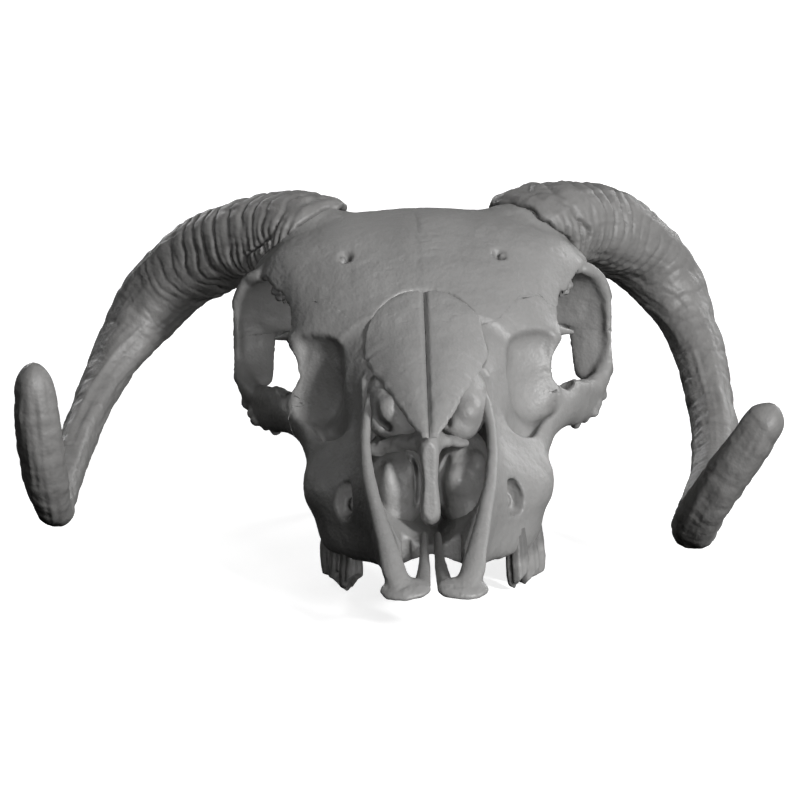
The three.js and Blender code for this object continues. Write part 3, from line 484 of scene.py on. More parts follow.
def frontal_surface():
    """The roof over the orbits: rings through its crown, brow, slope and rim and back under its thickness."""
    y = between(FRONTAL, 1.0)
    roof, thick, *side = through(FRONTAL, y).T
    brow, slope, rim = np.array(side).reshape(3, 2, len(y))
    nil = 0 * y
    outline = [
        (nil, roof), brow, slope, rim, (slope[0] - 1.5, slope[1] - 0.55 * thick),
        (brow[0], brow[1] - 1.6 * thick), (nil, roof - 2.2 * thick),
    ]
    half = np.array([np.array(p) for p in outline]).transpose(2, 0, 1)
    return loft(mirrored_rings(y, half, 120))


def airway_surface():
    """The air space of the nose: smooth rings between its floor and roof."""
    y = between(AIRWAY, 1.5)
    w, low, high = through(AIRWAY, y).T
    rise = high - low
    outline = [
        (0 * y, high), (0.6 * w, high - 0.03 * rise), (w, low + 0.68 * rise), (w, low + 0.42 * rise),
        (0.62 * w, low + 0.1 * rise), (0 * y, low),
    ]
    half = np.array([np.array(p) for p in outline]).transpose(2, 0, 1)
    return loft(mirrored_rings(y, half, 64))


def smooth_min(a, b, blend):
    """The smaller of two distances, lowered by h²·blend/4 where they are within blend of each other."""
    if blend <= 0:
        return np.minimum(a, b)
    h = np.maximum(blend - np.abs(a - b), 0) / blend
    return np.minimum(a, b) - h * h * blend / 4


class Block:
    """Signed distances in mm on a grid of equal steps, below zero inside the bone. Forms are joined to it
    and cut out of it with soft edges."""

    def __init__(self, low, high, step):
        self.step = step
        self.base = np.floor(np.asarray(low) / step).astype(int)
        self.count = np.ceil(np.asarray(high) / step).astype(int) - self.base + 1
        self.far = 8 * step
        self.field = np.full(self.count, self.far, np.float32)

    def lattice(self, window=None):
        """x, y and z of the cells of a window, as three arrays that broadcast together."""
        window = window or tuple(slice(0, n) for n in self.count)
        axes = [(np.arange(w.start, w.stop) + self.base[k]) * self.step for k, w in enumerate(window)]
        return np.ix_(*axes)

    def form(self, surface):
        """The distances to a closed surface, as a window of the block and its values."""
        points, quads, triangles = surface
        grid = openvdb.FloatGrid.createLevelSetFromPolygons(
            points.astype(np.float32),
            triangles=triangles.astype(np.uint32),
            quads=quads.astype(np.uint32),
            transform=openvdb.createLinearTransform(voxelSize=self.step),
            halfWidth=8,
        )
        low, high = [np.array(v) for v in grid.evalActiveVoxelBoundingBox()]
        low, high = np.maximum(low, self.base), np.minimum(high, self.base + self.count - 1)
        if np.any(high < low):
            return None
        values = np.empty(high - low + 1, np.float32)
        grid.copyToArray(values, ijk=tuple(int(v) for v in low))
        window = tuple(slice(a, b) for a, b in zip(low - self.base, high - self.base + 1))
        return window, values

    def ball(self, centre, radii, turn=(0, 0, 0)):
        """The distances to an ellipsoid turned about x, y and z: k(k-1)/|g|, where k is the length of the
        point over the radii and g the same over the radii squared."""
        centre, radii = np.asarray(centre, float), np.asarray(radii, float)
        reach = max(radii) + self.far
        low = np.clip(np.floor((centre - reach) / self.step).astype(int) - self.base, 0, self.count)
        high = np.clip(np.ceil((centre + reach) / self.step).astype(int) - self.base, 0, self.count)
        if np.any(high <= low):
            return None
        window = tuple(slice(a, b) for a, b in zip(low, high))
        x, y, z = [v - c for v, c in zip(self.lattice(window), centre)]
        about_x, about_y, about_z = [Matrix.Rotation(angle, 3, axis) for angle, axis in zip(turn, "XYZ")]
        spin = (about_x @ about_y @ about_z).inverted()
        local = [spin[i][0] * x + spin[i][1] * y + spin[i][2] * z for i in range(3)]
        k = np.sqrt(sum((v / r) ** 2 for v, r in zip(local, radii)))
        g = np.sqrt(sum((v / r**2) ** 2 for v, r in zip(local, radii)))
        values = k * (k - 1) / np.maximum(g, 1e-6)
        return window, np.clip(values, -self.far, self.far).astype(np.float32)

    def egg(self, row, side=1):
        """The distances to an ellipsoid of a table, mirrored for the animal's right."""
        (x, y, z), radii, (about_x, about_y, about_z) = row
        return self.ball((side * x, y, z), radii, (about_x, side * about_y, side * about_z))

    def bar(self, path, side, across, **finish):
        """The distances to a tube along a table's path, mirrored for the animal's right."""
        return self.form(tube(mirrored(path, side), across, **finish))

    def ragged(self, form, amount, scale, seed):
        """A form whose surface wanders in and out by an amount of layered noise."""
        if form is None:
            return None
        window, values = form
        near = np.nonzero(np.abs(values) < 2.5 * amount + self.step)
        axes = [v.ravel() for v in self.lattice(window)]
        points = np.column_stack([axes[k][near[k]] for k in range(3)])
        values = values.copy()
        values[near] += amount * layers(points, scale, seed)
        return window, values

    def part(self, other):
        """Another block on the same lattice as a form: the window both cover and the other's distances."""
        low = np.maximum(other.base, self.base)
        high = np.minimum(other.base + other.count, self.base + self.count)
        if np.any(high <= low):
            return None
        own = tuple(slice(a, b) for a, b in zip(low - self.base, high - self.base))
        theirs = tuple(slice(a, b) for a, b in zip(low - other.base, high - other.base))
        return own, other.field[theirs]

    def join(self, form, blend=0.0):
        """Adds a form."""
        if form is None:
            return
        window, values = form
        here = self.field[window]
        near = values < self.far * 0.98
        self.field[window] = np.where(near, smooth_min(here, values, blend), here)

    def cut(self, form, blend=0.0):
        """Takes a form away."""
        if form is None:
            return
        window, values = form
        here = self.field[window]
        near = values < self.far * 0.98
        self.field[window] = np.where(near, -smooth_min(-here, values, blend), here)

    def sample(self, points):
        """Distances at points (n, 3), mixed from the eight cells round each."""
        p = points / self.step - self.base
        i = np.clip(np.floor(p).astype(int), 0, self.count - 2)
        f = np.clip(p - i, 0, 1)
        total = np.zeros(len(p))
        for corner in np.ndindex(2, 2, 2):
            weight = np.prod(np.where(np.array(corner) == 1, f, 1 - f), axis=1)
            at = i + np.array(corner)
            total += weight * self.field[at[:, 0], at[:, 1], at[:, 2]]
        return total

    def surface(self, keep=None):
        """The zero surface as points, quads and triangles, only where keep, distances into the region
        that stays, is above zero, and only its largest closed part."""
        field = self.field if keep is None else np.maximum(self.field, -keep).astype(np.float32)
        grid = openvdb.FloatGrid(background=float(self.far))
        grid.transform = openvdb.createLinearTransform(voxelSize=self.step)
        grid.copyFromArray(np.ascontiguousarray(field), ijk=tuple(int(v) for v in self.base))
        points, triangles, quads = grid.convertToPolygons(isovalue=0.0, adaptivity=0.0)
        points = np.asarray(points, float)
        if keep is not None:
            points = self.to_rim(points)
        return largest(points, quads.astype(int), triangles.astype(int))

    def to_rim(self, points):
        """Points on a cut that are less than 0.7 of a step under the bone's surface, brought out to it along
        the steepest way, so that two bones meet with no furrow between them."""
        depth = self.sample(points)
        near = np.nonzero((depth < -0.02) & (depth > -0.7 * self.step))[0]
        spot = points[near]
        way = np.column_stack([
            self.sample(spot + offset) - self.sample(spot - offset) for offset in np.eye(3) * 0.6 * self.step
        ])
        points = points.copy()
        points[near] = spot - unit(way) * depth[near][:, None]
        return points


def largest(points, quads, triangles):
    """The part of a surface with the most points: every point takes the lowest number it is joined to,
    until nothing changes."""
    pairs = [quads[:, [0, 1]], quads[:, [1, 2]], quads[:, [2, 3]]]
    if len(triangles):
        pairs += [triangles[:, [0, 1]], triangles[:, [1, 2]]]
    a, b = np.concatenate(pairs).T
    label = np.arange(len(points))
    while True:
        low = np.minimum(label[a], label[b])
        new = label.copy()
        np.minimum.at(new, a, low)
        np.minimum.at(new, b, low)
        new = new[new]
        if np.array_equal(new, label):
            break
        label = new
    kept = label == np.bincount(label).argmax()
    number = np.cumsum(kept) - 1
    quads = number[quads[kept[quads[:, 0]]]]
    if len(triangles):
        triangles = number[triangles[kept[triangles[:, 0]]]]
    return points[kept], quads, triangles


def normals_of(points, quads, triangles):
    """Directions out of a surface: the sum of the crossed diagonals of the faces round each point."""
    total = np.zeros_like(points)
    for faces in (quads, triangles):
        if len(faces):
            one = points[faces[:, 2]] - points[faces[:, 0]]
            other = points[faces[:, -1]] - points[faces[:, 1]]
            across = np.cross(one, other)
            for column in faces.T:
                for k in range(3):
                    total[:, k] += np.bincount(column, across[:, k], len(points))
    return unit(total)


def lacrimal_hollow(side, step):
    """The hollow in front of an orbit, as one soft form: ellipsoids and a tube under its straight upper
    lip, melted together."""
    middle = np.array(LACRIMAL_BLOCK["middle"]) * [side, 1, 1]
    hollow = Block(middle - LACRIMAL_BLOCK["reach"], middle + LACRIMAL_BLOCK["reach"], step)
    for row, blend in LACRIMAL_HOLLOW:
        hollow.join(hollow.egg(row, side), blend)
    hollow.join(hollow.bar(LACRIMAL_LIP, side, (0, 1, 0)), blend=6)
    return hollow


def join_solid_parts(block):
    """Melts the lofts of the face, braincase and frontals together with the crests, processes, condyles and
    horn cores."""
    block.join(block.form(face_surface()))
    block.join(block.form(braincase_surface()), blend=3.5)
    block.join(block.form(frontal_surface()), blend=3.5)
    block.join(block.form(tube(BASE_BAR, (1, 0, 0))), blend=3)
    for _, side in SIDES:
        for path, across, blend in (
            (CHEEK, (0.9 * side, -0.4, 0), 3.5),
            (JAW_SOCKET, (0, 1, 0), 2.5),
            (NUCHAL_CREST, (0, 1, 0.3), 3.5),
            (PARACONDYLAR, (0, 1, 0), 3),
            (PTERYGOID_PLATE, (1, 0, 0), 2),
        ):
            block.join(block.bar(path, side, across), blend)
        block.join(block.egg(EAR_BULLA, side), blend=2)
        block.join(block.egg(CONDYLE, side), blend=2)
        block.join(block.egg(EAR_OPENING_SWELL, side), blend=3)
        axis = (CURL_AXIS[0] * side, CURL_AXIS[1], 0)
        block.join(block.form(tube(HORN_CORE[side], axis, grow=-0.9)), blend=4)


def cut_hollows(block, side):
    """Melts out one side's orbit, the hollows behind and in front of it, and what is broken off its brow."""
    block.cut(block.ragged(block.egg(ORBIT, side), amount=1.15, scale=3.2, seed=11 + side), blend=0.3)
    block.cut(block.egg(TEMPORAL_HOLLOW, side), blend=2)
    block.cut(block.part(lacrimal_hollow(side, block.step)), blend=1.6)
    brow = block.bar(BROW_BREAK, side, (1, 0, 0.3))
    block.cut(block.ragged(brow, amount=1.5, scale=2.8, seed=21 + side), blend=0.2)


def join_rims(block, side):
    """Melts one side's orbit rim, brow spike and crumbs, knobs of the cheek, the bar and wall behind the
    orbit and the cheek arch on, and breaks the window through to the orbit's floor."""
    rim = mirrored(ORBIT_RIM, side)
    for part, blend in ((rim[3:9], 1.0), (np.vstack([rim[7:], rim[:1]]), 3.0)):
        bead = block.form(tube(part, (0.45 * side, -0.2, 0), step=0.6))
        block.join(block.ragged(bead, amount=0.3, scale=2.6, seed=25 + side), blend)
    block.join(block.bar(BROW_SPIKE, side, (0, 1, 0), step=0.5), blend=1.5)
    for x, y, z, radius in CHEEK_LUMPS:
        lump = block.ball((side * x, y, z), (radius, 1.6 * radius, radius))
        block.join(block.ragged(lump, amount=0.5, scale=2.5, seed=35 + side), blend=1.2)
    for x, y, z, radius in BROW_CRUMBS:
        block.join(block.ball((side * x, y, z), (radius, 1.5 * radius, 0.9 * radius)), blend=0.8)
    for path in (POSTORBITAL_BAR, POSTORBITAL_WALL):
        block.join(block.bar(path, side, (BAR_ACROSS[0] * side, BAR_ACROSS[1], 0)), blend=3)
    block.join(block.bar(ZYGOMATIC_ARCH, side, (side, 0, 0)), blend=2)
    window = block.ragged(block.egg(CHEEK_WINDOW, side), amount=0.35, scale=3.5, seed=27 + side)
    block.cut(window, blend=0.8)


def cut_foramina(block, side):
    """Cuts one side's foramina of the brow and cheek, with the bump in each, and the furrow on the brow."""
    block.cut(block.bar(BROW_FURROW, side, (1, 0, 0)), blend=2.5)
    block.cut(block.egg(BROW_FORAMEN, side), blend=0.9)
    block.join(block.egg(BROW_FORAMEN_BUMP, side), blend=0.6)
    hole = block.ragged(block.egg(CHEEK_FORAMEN, side), amount=0.35, scale=3, seed=31 + side)
    block.cut(hole, blend=0.7)
    block.join(block.egg(CHEEK_FORAMEN_BUMP, side), blend=0.8)


def skull_block(low, high, step):
    """All the bone behind the nasal bones in one block, before its sutures part it."""
    block = Block(low, high, step)
    join_solid_parts(block)
    for _, side in SIDES:
        cut_hollows(block, side)
    for _, side in SIDES:
        join_rims(block, side)
    block.cut(block.form(airway_surface()), blend=1)
    for _, side in SIDES:
        block.join(block.egg(NOSE_FLOOR_SWELL, side), blend=4)
    block.cut(block.egg(SPINAL_OPENING), blend=1.5)
    block.cut(block.egg(REAR_NOSE_OPENING), blend=2)
    for _, side in SIDES:
        cut_foramina(block, side)
    return block


def along_seam(table, z):
    """Where a seam lies at the height z, and how much its slope shortens distances to it."""
    rows = np.asarray(table, float)
    y = np.interp(z, rows[:, 1], rows[:, 0])
    slope = np.gradient(y, axis=-1) / np.gradient(np.broadcast_to(z, y.shape), axis=-1)
    return y, 1 / np.sqrt(1 + slope**2)


def regions(block):
    """How far each cell lies inside the region of each bone, by name, with the seams wandering a little."""
    x, y, z = block.lattice()
    flat = np.stack(np.broadcast_arrays(x, z * 0.6, z), -1).reshape(-1, 3)
    wander = (0.5 * layers(flat, 5, 71, 2)).reshape(len(x), 1, z.shape[2])
    seam, ease = along_seam(SEAM, z)
    behind = (y - seam + wander) * ease
    roof = np.interp(np.abs(x), *np.array(FRONTAL_SEAM, float).T)
    behind = np.maximum(behind, (z - roof) * 0.85 + 0.5 * wander)
    seam, ease = along_seam(CHEEK_SEAM, z)
    cheek = np.minimum(
        np.minimum(np.abs(x) - CHEEK_REGION["from"], CHEEK_REGION["end"] - y),
        np.minimum(CHEEK_REGION["top"] - z + wander, (y - seam + wander) * ease),
    )
    (y0, z0), (y1, z1) = BROW_LINE
    run = math.hypot(y1 - y0, z1 - z0)
    brow = ((z - z0) * (y1 - y0) - (y - y0) * (z1 - z0)) / run + wander
    brow = np.maximum(brow, np.minimum(np.abs(x) - BROW_SIDE["from"], BROW_SIDE["end"] - y))
    found = {}
    for name, side in SIDES:
        own = side * x
        found[f"zygomatic_{name}"] = np.minimum(cheek, own) + OVERLAP
        found[f"maxilla_{name}"] = np.minimum(np.minimum(-behind, -cheek), own) + OVERLAP
    rest = np.minimum(behind, -cheek)
    found["frontals"] = np.minimum(rest, brow) + OVERLAP
    found["braincase"] = np.minimum(rest, -brow) + OVERLAP
    return found


def open_nose(block):
    """Cuts the opening of the nose, the seat of the nasal bones and the palatine fissures out of a block, and
    all that lies under the floor."""
    x, y, z = block.lattice()
    rows = np.array(OPENING_EDGE, float)
    edge = np.interp(y, rows[:, 0], rows[:, 1])
    slope = np.interp(y, rows[:, 0], np.gradient(rows[:, 1], rows[:, 0]))
    above = (z - edge) / np.sqrt(1 + slope**2)
    opening = np.minimum(np.minimum(above, OPENING["back"] - y), OPENING["half"] - np.abs(x))
    front, back = NASAL[0][0], NASAL[-1][0]
    half, top, fall = through(NASAL, np.clip(y.ravel(), front, back)).T
    half, top, fall = [v.reshape(1, -1, 1) for v in (half, top, fall)]
    out = np.clip(np.abs(x) / np.maximum(half, 0.5), 0, 1.2)
    under = top - fall * out**2.4 - NASAL_THICK * (1 - 0.35 * out) - GAP
    seat = np.minimum(z - under, half - 0.4 - np.abs(x))
    seat = np.minimum(seat, np.minimum(back - 0.4 - y, y - front + 0.5))
    flat = np.stack(np.broadcast_arrays(x, y, 0 * z[:, :, :1]), -1).reshape(-1, 3)
    torn = (1.6 * layers(flat, 4, 91, 2)).reshape(len(x), y.shape[1], 1)
    fissure = np.minimum(FISSURE["half"] - np.abs(x), FISSURE["back"] + torn - y)
    fissure = np.minimum(fissure, np.minimum(y - FISSURE["front"], FISSURE["top"] - z))
    for space in (opening, seat, fissure, FLOOR - z):
        block.field = np.maximum(block.field, space).astype(np.float32)


def in_mm(length):
    """A length of the settings in millimetres, to the thousandth, in the precision that settings have."""
    return float(np.float32(round(1000 * length, 3)))


def to_frame(points):
    """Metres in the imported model's frame."""
    return (np.asarray(points) - MIDDLE) / 1000


def add_piece(name, surface, slot, material, nodes=(), **values):
    """A mesh object from points, quads and triangles, with a value for each point under each name given,
    riding on the skull and standing for its nodes."""
    points, quads, triangles = surface
    mesh = bpy.data.meshes.new(name)
    mesh.vertices.add(len(points))
    mesh.vertices.foreach_set("co", to_frame(points).astype(np.float32).ravel())
    corners = np.concatenate([np.asarray(quads, np.int32).ravel(), np.asarray(triangles, np.int32).ravel()])
    mesh.loops.add(len(corners))
    mesh.loops.foreach_set("vertex_index", corners)
    starts = np.concatenate([np.arange(len(quads)) * 4, len(quads) * 4 + np.arange(len(triangles)) * 3])
    mesh.polygons.add(len(starts))
    mesh.polygons.foreach_set("loop_start", starts.astype(np.int32))
    mesh.update(calc_edges=True)
    mesh.validate()
    for key, value in values.items():
        layer = mesh.attributes.new(key, "FLOAT", "POINT")
        layer.data.foreach_set("value", np.asarray(value, np.float32))
    mesh.shade_smooth()
    mesh.set_sharp_from_angle(angle=math.radians(SHARP_EDGE))
    mesh.materials.append(material)
    piece = bpy.data.objects.new(name, mesh)
    bpy.context.scene.collection.objects.link(piece)
    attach(piece, "root")
    if nodes:
        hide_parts(*nodes)
    return piece


def outward(surface):
    """A closed surface with its faces turned out, if its volume comes out below zero."""
    points, quads, triangles = surface
    total = 0.0
    for faces in (quads, triangles):
        for k in range(2, faces.shape[1] if len(faces) else 0):
            a, b, c = points[faces[:, 0]], points[faces[:, k - 1]], points[faces[:, k]]
            total += np.einsum("ij,ij->i", a, np.cross(b, c)).sum()
    return surface if total > 0 else (points, quads[:, ::-1], triangles[:, ::-1])


def weathered(block, surface, fine=1.0, seed=5):
    """The surface with the bone's own roughness: shallow swells 9 mm long, grain 2 mm long and small pits.
    Also how closed-in every point is, as painted shade: how much nearer other bone is than 2.4 mm, that far
    out from it."""
    points, quads, triangles = surface
    out = normals_of(points, quads, triangles)
    height = 0.22 * noise(points, 9, seed) + 0.10 * noise(points, 3.1, seed + 1)
    height = height + 0.06 * noise(points, 1.4, seed + 2)
    pits = np.clip(noise(points, 1.7, seed + 3) - 0.55, 0, 1)
    height = fine * (height - 0.5 * pits)
    reach = 2.4
    # Painted shade: the nearer other bone lies out from a point, the darker its colour, as in creases and
    # hollows
    closed = np.clip((reach - block.sample(points + out * reach)) / reach, 0, 2)
    return (points + out * height[:, None], quads, triangles), closed


def with_midline(surface, closed):
    """The frontals with the suture between them: a furrow of exp(-(d/0.6)²) where d is the distance to a
    line that wanders along the middle, with painted shade along it."""
    points, quads, triangles = surface
    line = 0.9 * noise(points * [0, 1, 0], 4.5, 201) + 0.5 * noise(points * [0, 1, 0], 1.6, 202) - 1.2
    near = np.exp(-(((points[:, 0] - line) / 0.6) ** 2)) * (points[:, 2] > 84)
    fade = 0.55 + 0.45 * noise(points * [0, 1, 0], 7, 203)
    points = points - np.array([0, 0, 1.0]) * (0.3 * near * fade)[:, None]
    # Painted shade along the furrow, which draws the suture as a darker line
    return (points, quads, triangles), closed + 0.5 * near * fade


def horn_surface(side, size):
    """A horn sheath over two parameters, the way along it and the angle round it. The outline is the sheath's
    table swept along its curl. The rings are 1-|sin| waves across it, broad on top and in tight folds low
    on the front, the wrinkles are noise drawn out lengthwise, and the rim is where each line along the
    sheath meets the plane of its mouth. The lip turns in there and runs back up inside."""
    rows = np.array(HORN_SHEATH[side], float)
    stations = np.column_stack([np.arange(len(rows)), rows[:, 3:5]])
    around, along_count = 168, 430
    angle = 2 * np.pi * np.arange(around) / around
    fine = np.linspace(0, 1, 1400)
    centre = spline(rows[:, :3], fine)
    travelled = np.concatenate([[0], np.cumsum(np.linalg.norm(np.diff(centre, axis=0), axis=1))])
    total = travelled[-1]
    across = np.array([CURL_AXIS[0] * side, CURL_AXIS[1], 0.0])
    ring_spacing, ring_depth = in_mm(size.ring_spacing), in_mm(size.ring_depth)
    fold_spacing, fold_depth = in_mm(size.fold_spacing), in_mm(size.fold_depth)

    def frame_at(s):
        """Centre, wide and high directions and the two half widths at the distances s along the horn. The
        last 6 mm round off as a quarter circle does."""
        t = np.interp(s, travelled, fine).ravel()
        along = direction(rows[:, :3], t, 2e-3)
        wide = unit(across - along * (along @ across)[:, None])
        half = through(stations, t * (len(rows) - 1))
        end = np.clip((total - s.ravel()) / 6.0, 0, 1)
        half = half * np.sqrt(1 - (1 - end) ** 2)[:, None]
        found = (spline(rows[:, :3], t), wide, np.cross(along, wide), half)
        return [v.reshape(s.shape + (-1,)) for v in found]

    def waves(s, spacing, wander):
        """1-|sin| waves along the horn, whose crests wander."""
        return 1 - np.abs(np.sin(np.pi * (s / spacing + wander)))

    def skin(s, turn, inset=0.0):
        """Points on the sheath at distances s and angles turn, with its rings, folds and wrinkles, and how
        far each is clear of the painted shade in the grooves.
        """
        place, wide, high, half = frame_at(s)
        c, n = np.cos(turn)[..., None], np.sin(turn)[..., None]
        square = 1 + 0.05 * np.sin(2 * turn)[..., None] ** 2
        spot = place + wide * half[..., :1] * c * square + high * half[..., 1:] * n * square
        out = unit(wide * c / np.maximum(half[..., :1], 0.5) + high * n / np.maximum(half[..., 1:], 0.5))
        flat = spot.reshape(-1, 3)

        def grain(points, scale, seed):
            return noise(points, scale, seed).reshape(s.shape)

        wander = (noise(flat, 16, 31 + side) + 0.45 * noise(flat, 6, 35 + side)).reshape(s.shape)
        patchy = np.clip(0.75 + 0.9 * grain(flat, 9, 33 + side), 0.1, 1.5)
        rings = waves(s, ring_spacing, 0.7 * wander) ** 1.8
        rings_fade = np.clip(1 - (s - 26) / 60, 0, 1)
        folds = waves(s, fold_spacing, 0.8 * wander) ** 1.3
        low_front = np.clip(0.2 + 1.1 * -(out[..., 1] * 0.75 + out[..., 2] * 0.66), 0, 1)
        tight = low_front * np.clip(1 - (s - 20) / 22, 0, 1)
        depth = ring_depth * rings_fade * rings * patchy * (1 - 0.6 * tight)
        depth = depth + fold_depth * tight * folds * patchy
        steps = 0.22 * waves(s, 13.0, 0.6 * wander) ** 3 * np.clip((s - 40) / 40, 0, 1)
        girth = half.mean(-1)
        rounds = np.stack([girth * np.cos(turn), girth * np.sin(turn)], -1)
        drawn = np.concatenate([rounds, s[..., None] * 0.09], -1).reshape(-1, 3)
        crosswise = np.concatenate([rounds * 0.25, s[..., None] * 0.8], -1).reshape(-1, 3)
        wrinkle = 0.24 * grain(drawn, 1.6, 41) + 0.38 * grain(drawn * [1, 1, 0.6], 4.2, 43)
        wrinkle = wrinkle + 0.2 * layers(crosswise, 2.4, 45, 2).reshape(s.shape)
        lumps = 0.6 * grain(flat, 15, 51) + 0.3 * grain(flat, 4.5, 52) + 0.1 * grain(flat, 1.8, 53)
        taper = np.clip((total - s) / 12, 0.25, 1)
        height = (lumps + wrinkle) * taper - depth - steps - inset
        # Painted shade in the grooves between rings and steps: 1 where a point is fully lit, lower the deeper
        # it lies
        unshaded = 1 - np.clip(depth / 2.2 + steps, 0, 1)
        return spot + out * height[..., None], unshaded

    at = np.array(HORN_MOUTH["at"], float) * [side, 1, 1]
    facing = unit(np.array(HORN_MOUTH["facing"], float) * [side, 1, 1])
    search = np.linspace(0, 60, 240)
    grid_s, grid_a = np.meshgrid(search, angle, indexing="ij")
    place, wide, high, half = frame_at(grid_s)
    c, n = np.cos(grid_a)[..., None], np.sin(grid_a)[..., None]
    ahead = (place + wide * half[..., :1] * c + high * half[..., 1:] * n - at) @ facing
    rim = search[np.argmax(ahead > 0, axis=0)]
    ring = np.column_stack([12 * np.cos(angle), 12 * np.sin(angle), 0 * angle])
    rim = rim + 1.3 * noise(ring, 6, 61 + side) + 0.7 * noise(ring, 2.2, 63 + side)
    along = np.linspace(0, 1, along_count)[:, None]
    s = rim[None] + (total - 0.02 - rim[None]) * along**1.06
    outer, unshaded = skin(s, np.broadcast_to(angle, s.shape))
    past = s - rim[None]
    crack_at = 5.5 + 2.2 * noise(ring, 5, 65 + side)
    cracked = np.clip(0.3 + 1.6 * noise(ring, 9, 67 + side), 0, 1)
    swollen = 0.7 * np.exp(-(((past - 2.4) / 2.2) ** 2))
    swollen = swollen - 1.5 * cracked * np.exp(-(((past - crack_at) / 0.75) ** 2))
    outer = outer + unit(outer - frame_at(s)[0]) * swollen[..., None]
    # Painted shade in the crack a little way up from the rim
    unshaded = unshaded * (1 - 0.6 * np.clip(-swollen, 0, 1))
    lip = [skin(np.maximum(rim + back, 0.01)[None], angle[None], inset)[0] for inset, back in HORN_LIP]
    inner = np.concatenate(lip[::-1])
    points, quads, fans = loft(np.concatenate([inner, outer]))
    # Painted shade, given back as 1 - shade: 0.8 on the lip inside the mouth, rising with groove depth, 0 at
    # the tip
    shade = np.concatenate([np.full(len(inner) * around, 0.2), unshaded.ravel(), [0.2, 1.0]])
    return outward((points, quads, fans)), 1 - shade


def nasal_surface(side):
    """One nasal bone over two parameters, from the midline outwards and along it: its top falls as the 2.4th
    power of the way out, sinks along the midline in a groove of exp(-(x/w)²), and its outer edge wanders.
    Top and underside are one ring round the bone at every station."""
    front, back = NASAL[0][0], NASAL[-1][0]
    y = np.linspace(back, front, 250)
    half, top, fall = through(NASAL, y).T
    flat = np.column_stack([0 * y, y, 0 * y])
    half = np.maximum(half + 0.35 * noise(flat, 5, 80 + side) + 0.25 * noise(flat, 1.8, 82 + side), 0.6)
    half, top, fall = [v[:, None] for v in (half, top, fall)]
    across = np.linspace(0, 1, 46)[None]
    u = across * half
    x = NASAL_APART + u * (1 - NASAL_APART / half)
    groove = 0.95 * np.exp(-((u / 0.85) ** 2)) * np.minimum(1, half / 8)
    swell = 0.5 * np.sin(np.pi * across) * np.minimum(1, half / 12)
    thick = NASAL_THICK * (1 - 0.35 * across) * np.minimum(1, 0.55 + half / 18)
    edge = np.sqrt(np.clip(1 - (1 - np.clip((half - u) / 0.6, 0, 1)) ** 2, 0, 1))
    middle = top - fall * across**2.4 - groove + swell - thick / 2
    y_grid = np.broadcast_to(y[:, None], x.shape)
    body = np.column_stack([x.ravel(), y_grid.ravel(), middle.ravel()])
    rough = 0.16 * noise(body * [1, 0.35, 1], 2.4, 85) + 0.22 * noise(body, 8, 86)
    rough = (rough - 0.4 * np.clip(noise(body, 1.5, 87) - 0.6, 0, 1)).reshape(x.shape)
    end = np.clip(np.minimum(back - y, y - front) / 1.2, 0.05, 1)[:, None]
    upper = np.stack([side * x, y_grid, middle + thick / 2 * edge * end + rough * edge], -1)
    lower = np.stack([side * x, y_grid, middle - thick / 2 * edge * end], -1)
    points, quads, fans = loft(np.concatenate([upper, lower[:, ::-1]], axis=1))
    # Painted shade: half the groove's depth on the top, and 0.9 over the whole underside
    closed = np.concatenate([0.5 * groove, np.full(groove.shape, 0.9)], axis=1).ravel()
    return outward((points, quads, fans)), np.concatenate([closed, [0.2, 0.2]])


def tooth_surface(row, side, seed, broken):
    """One cheek tooth over two parameters, the height and the angle: half widths swell and narrow with
    height, ribs are cos(4·angle), and its worn or broken end is a tilted, ragged plane."""
    x, y, wide, long, length, worn = row
    around, levels = 72, 60
    angle = 2 * np.pi * np.arange(around) / around
    end = worn + broken * (0.5 + 0.5 * np.cos(angle - 0.8 * seed))
    ring = np.column_stack([4 * np.cos(angle), 4 * np.sin(angle), np.full(around, seed)])
    end = np.maximum(end + 0.5 * noise(ring, 2.5, 90 + seed) * (0.4 + broken / 6), worn)
    up = np.linspace(0, 1, levels)[:, None]
    z = end[None] + (length + TOOTH_ROOT - end[None]) * up
    swells = [[0, 0.78], [3, 0.94], [0.7 * length, 1.0], [length + TOOTH_ROOT, 0.7]]
    swell = through(swells, z.ravel()).reshape(z.shape)
    rounding = np.sqrt(np.clip(1 - (1 - np.clip((z - end[None]) / 1.3, 0, 1)) ** 2, 0.3, 1))
    ribs = 1 + 0.10 * np.cos(4 * angle)[None] + 0.03 * np.cos(9 * angle + seed)[None]
    lean = 0.5 * np.maximum(0, 1 - z / length)
    px = ROW_SHIFT + side * (x + lean + wide * swell * rounding * ribs * np.cos(angle))
    py = y + long * swell * rounding * ribs * np.sin(angle)
    points = np.stack([px, py, FLOOR + z], -1)
    flat = points.reshape(-1, 3)
    rough = (0.12 * noise(flat, 2.0, 95) + 0.08 * noise(flat * [1, 1, 0.3], 0.9, 96)).reshape(z.shape)
    points[..., 0] += rough * np.cos(angle) * side
    points[..., 1] += rough * np.sin(angle)
    middle = points[0].mean(0)
    cap = [(points[0] - middle) * (1 - inset) + middle + [0, 0, rise] for inset, rise in TOOTH_CAP]
    # Painted shade: 0.9 to 1 on the cap that closes the low end, a little between the ribs, full where the
    # tooth goes into the bone
    root = 0.35 * (1 - ribs) + np.clip((z - 0.8 * length) / 3, 0, 1)
    closed = np.concatenate([np.full(len(cap) * around, 0.9), root.ravel(), [1, 1]])
    return outward(loft(np.concatenate([np.array(cap), points]))), closed


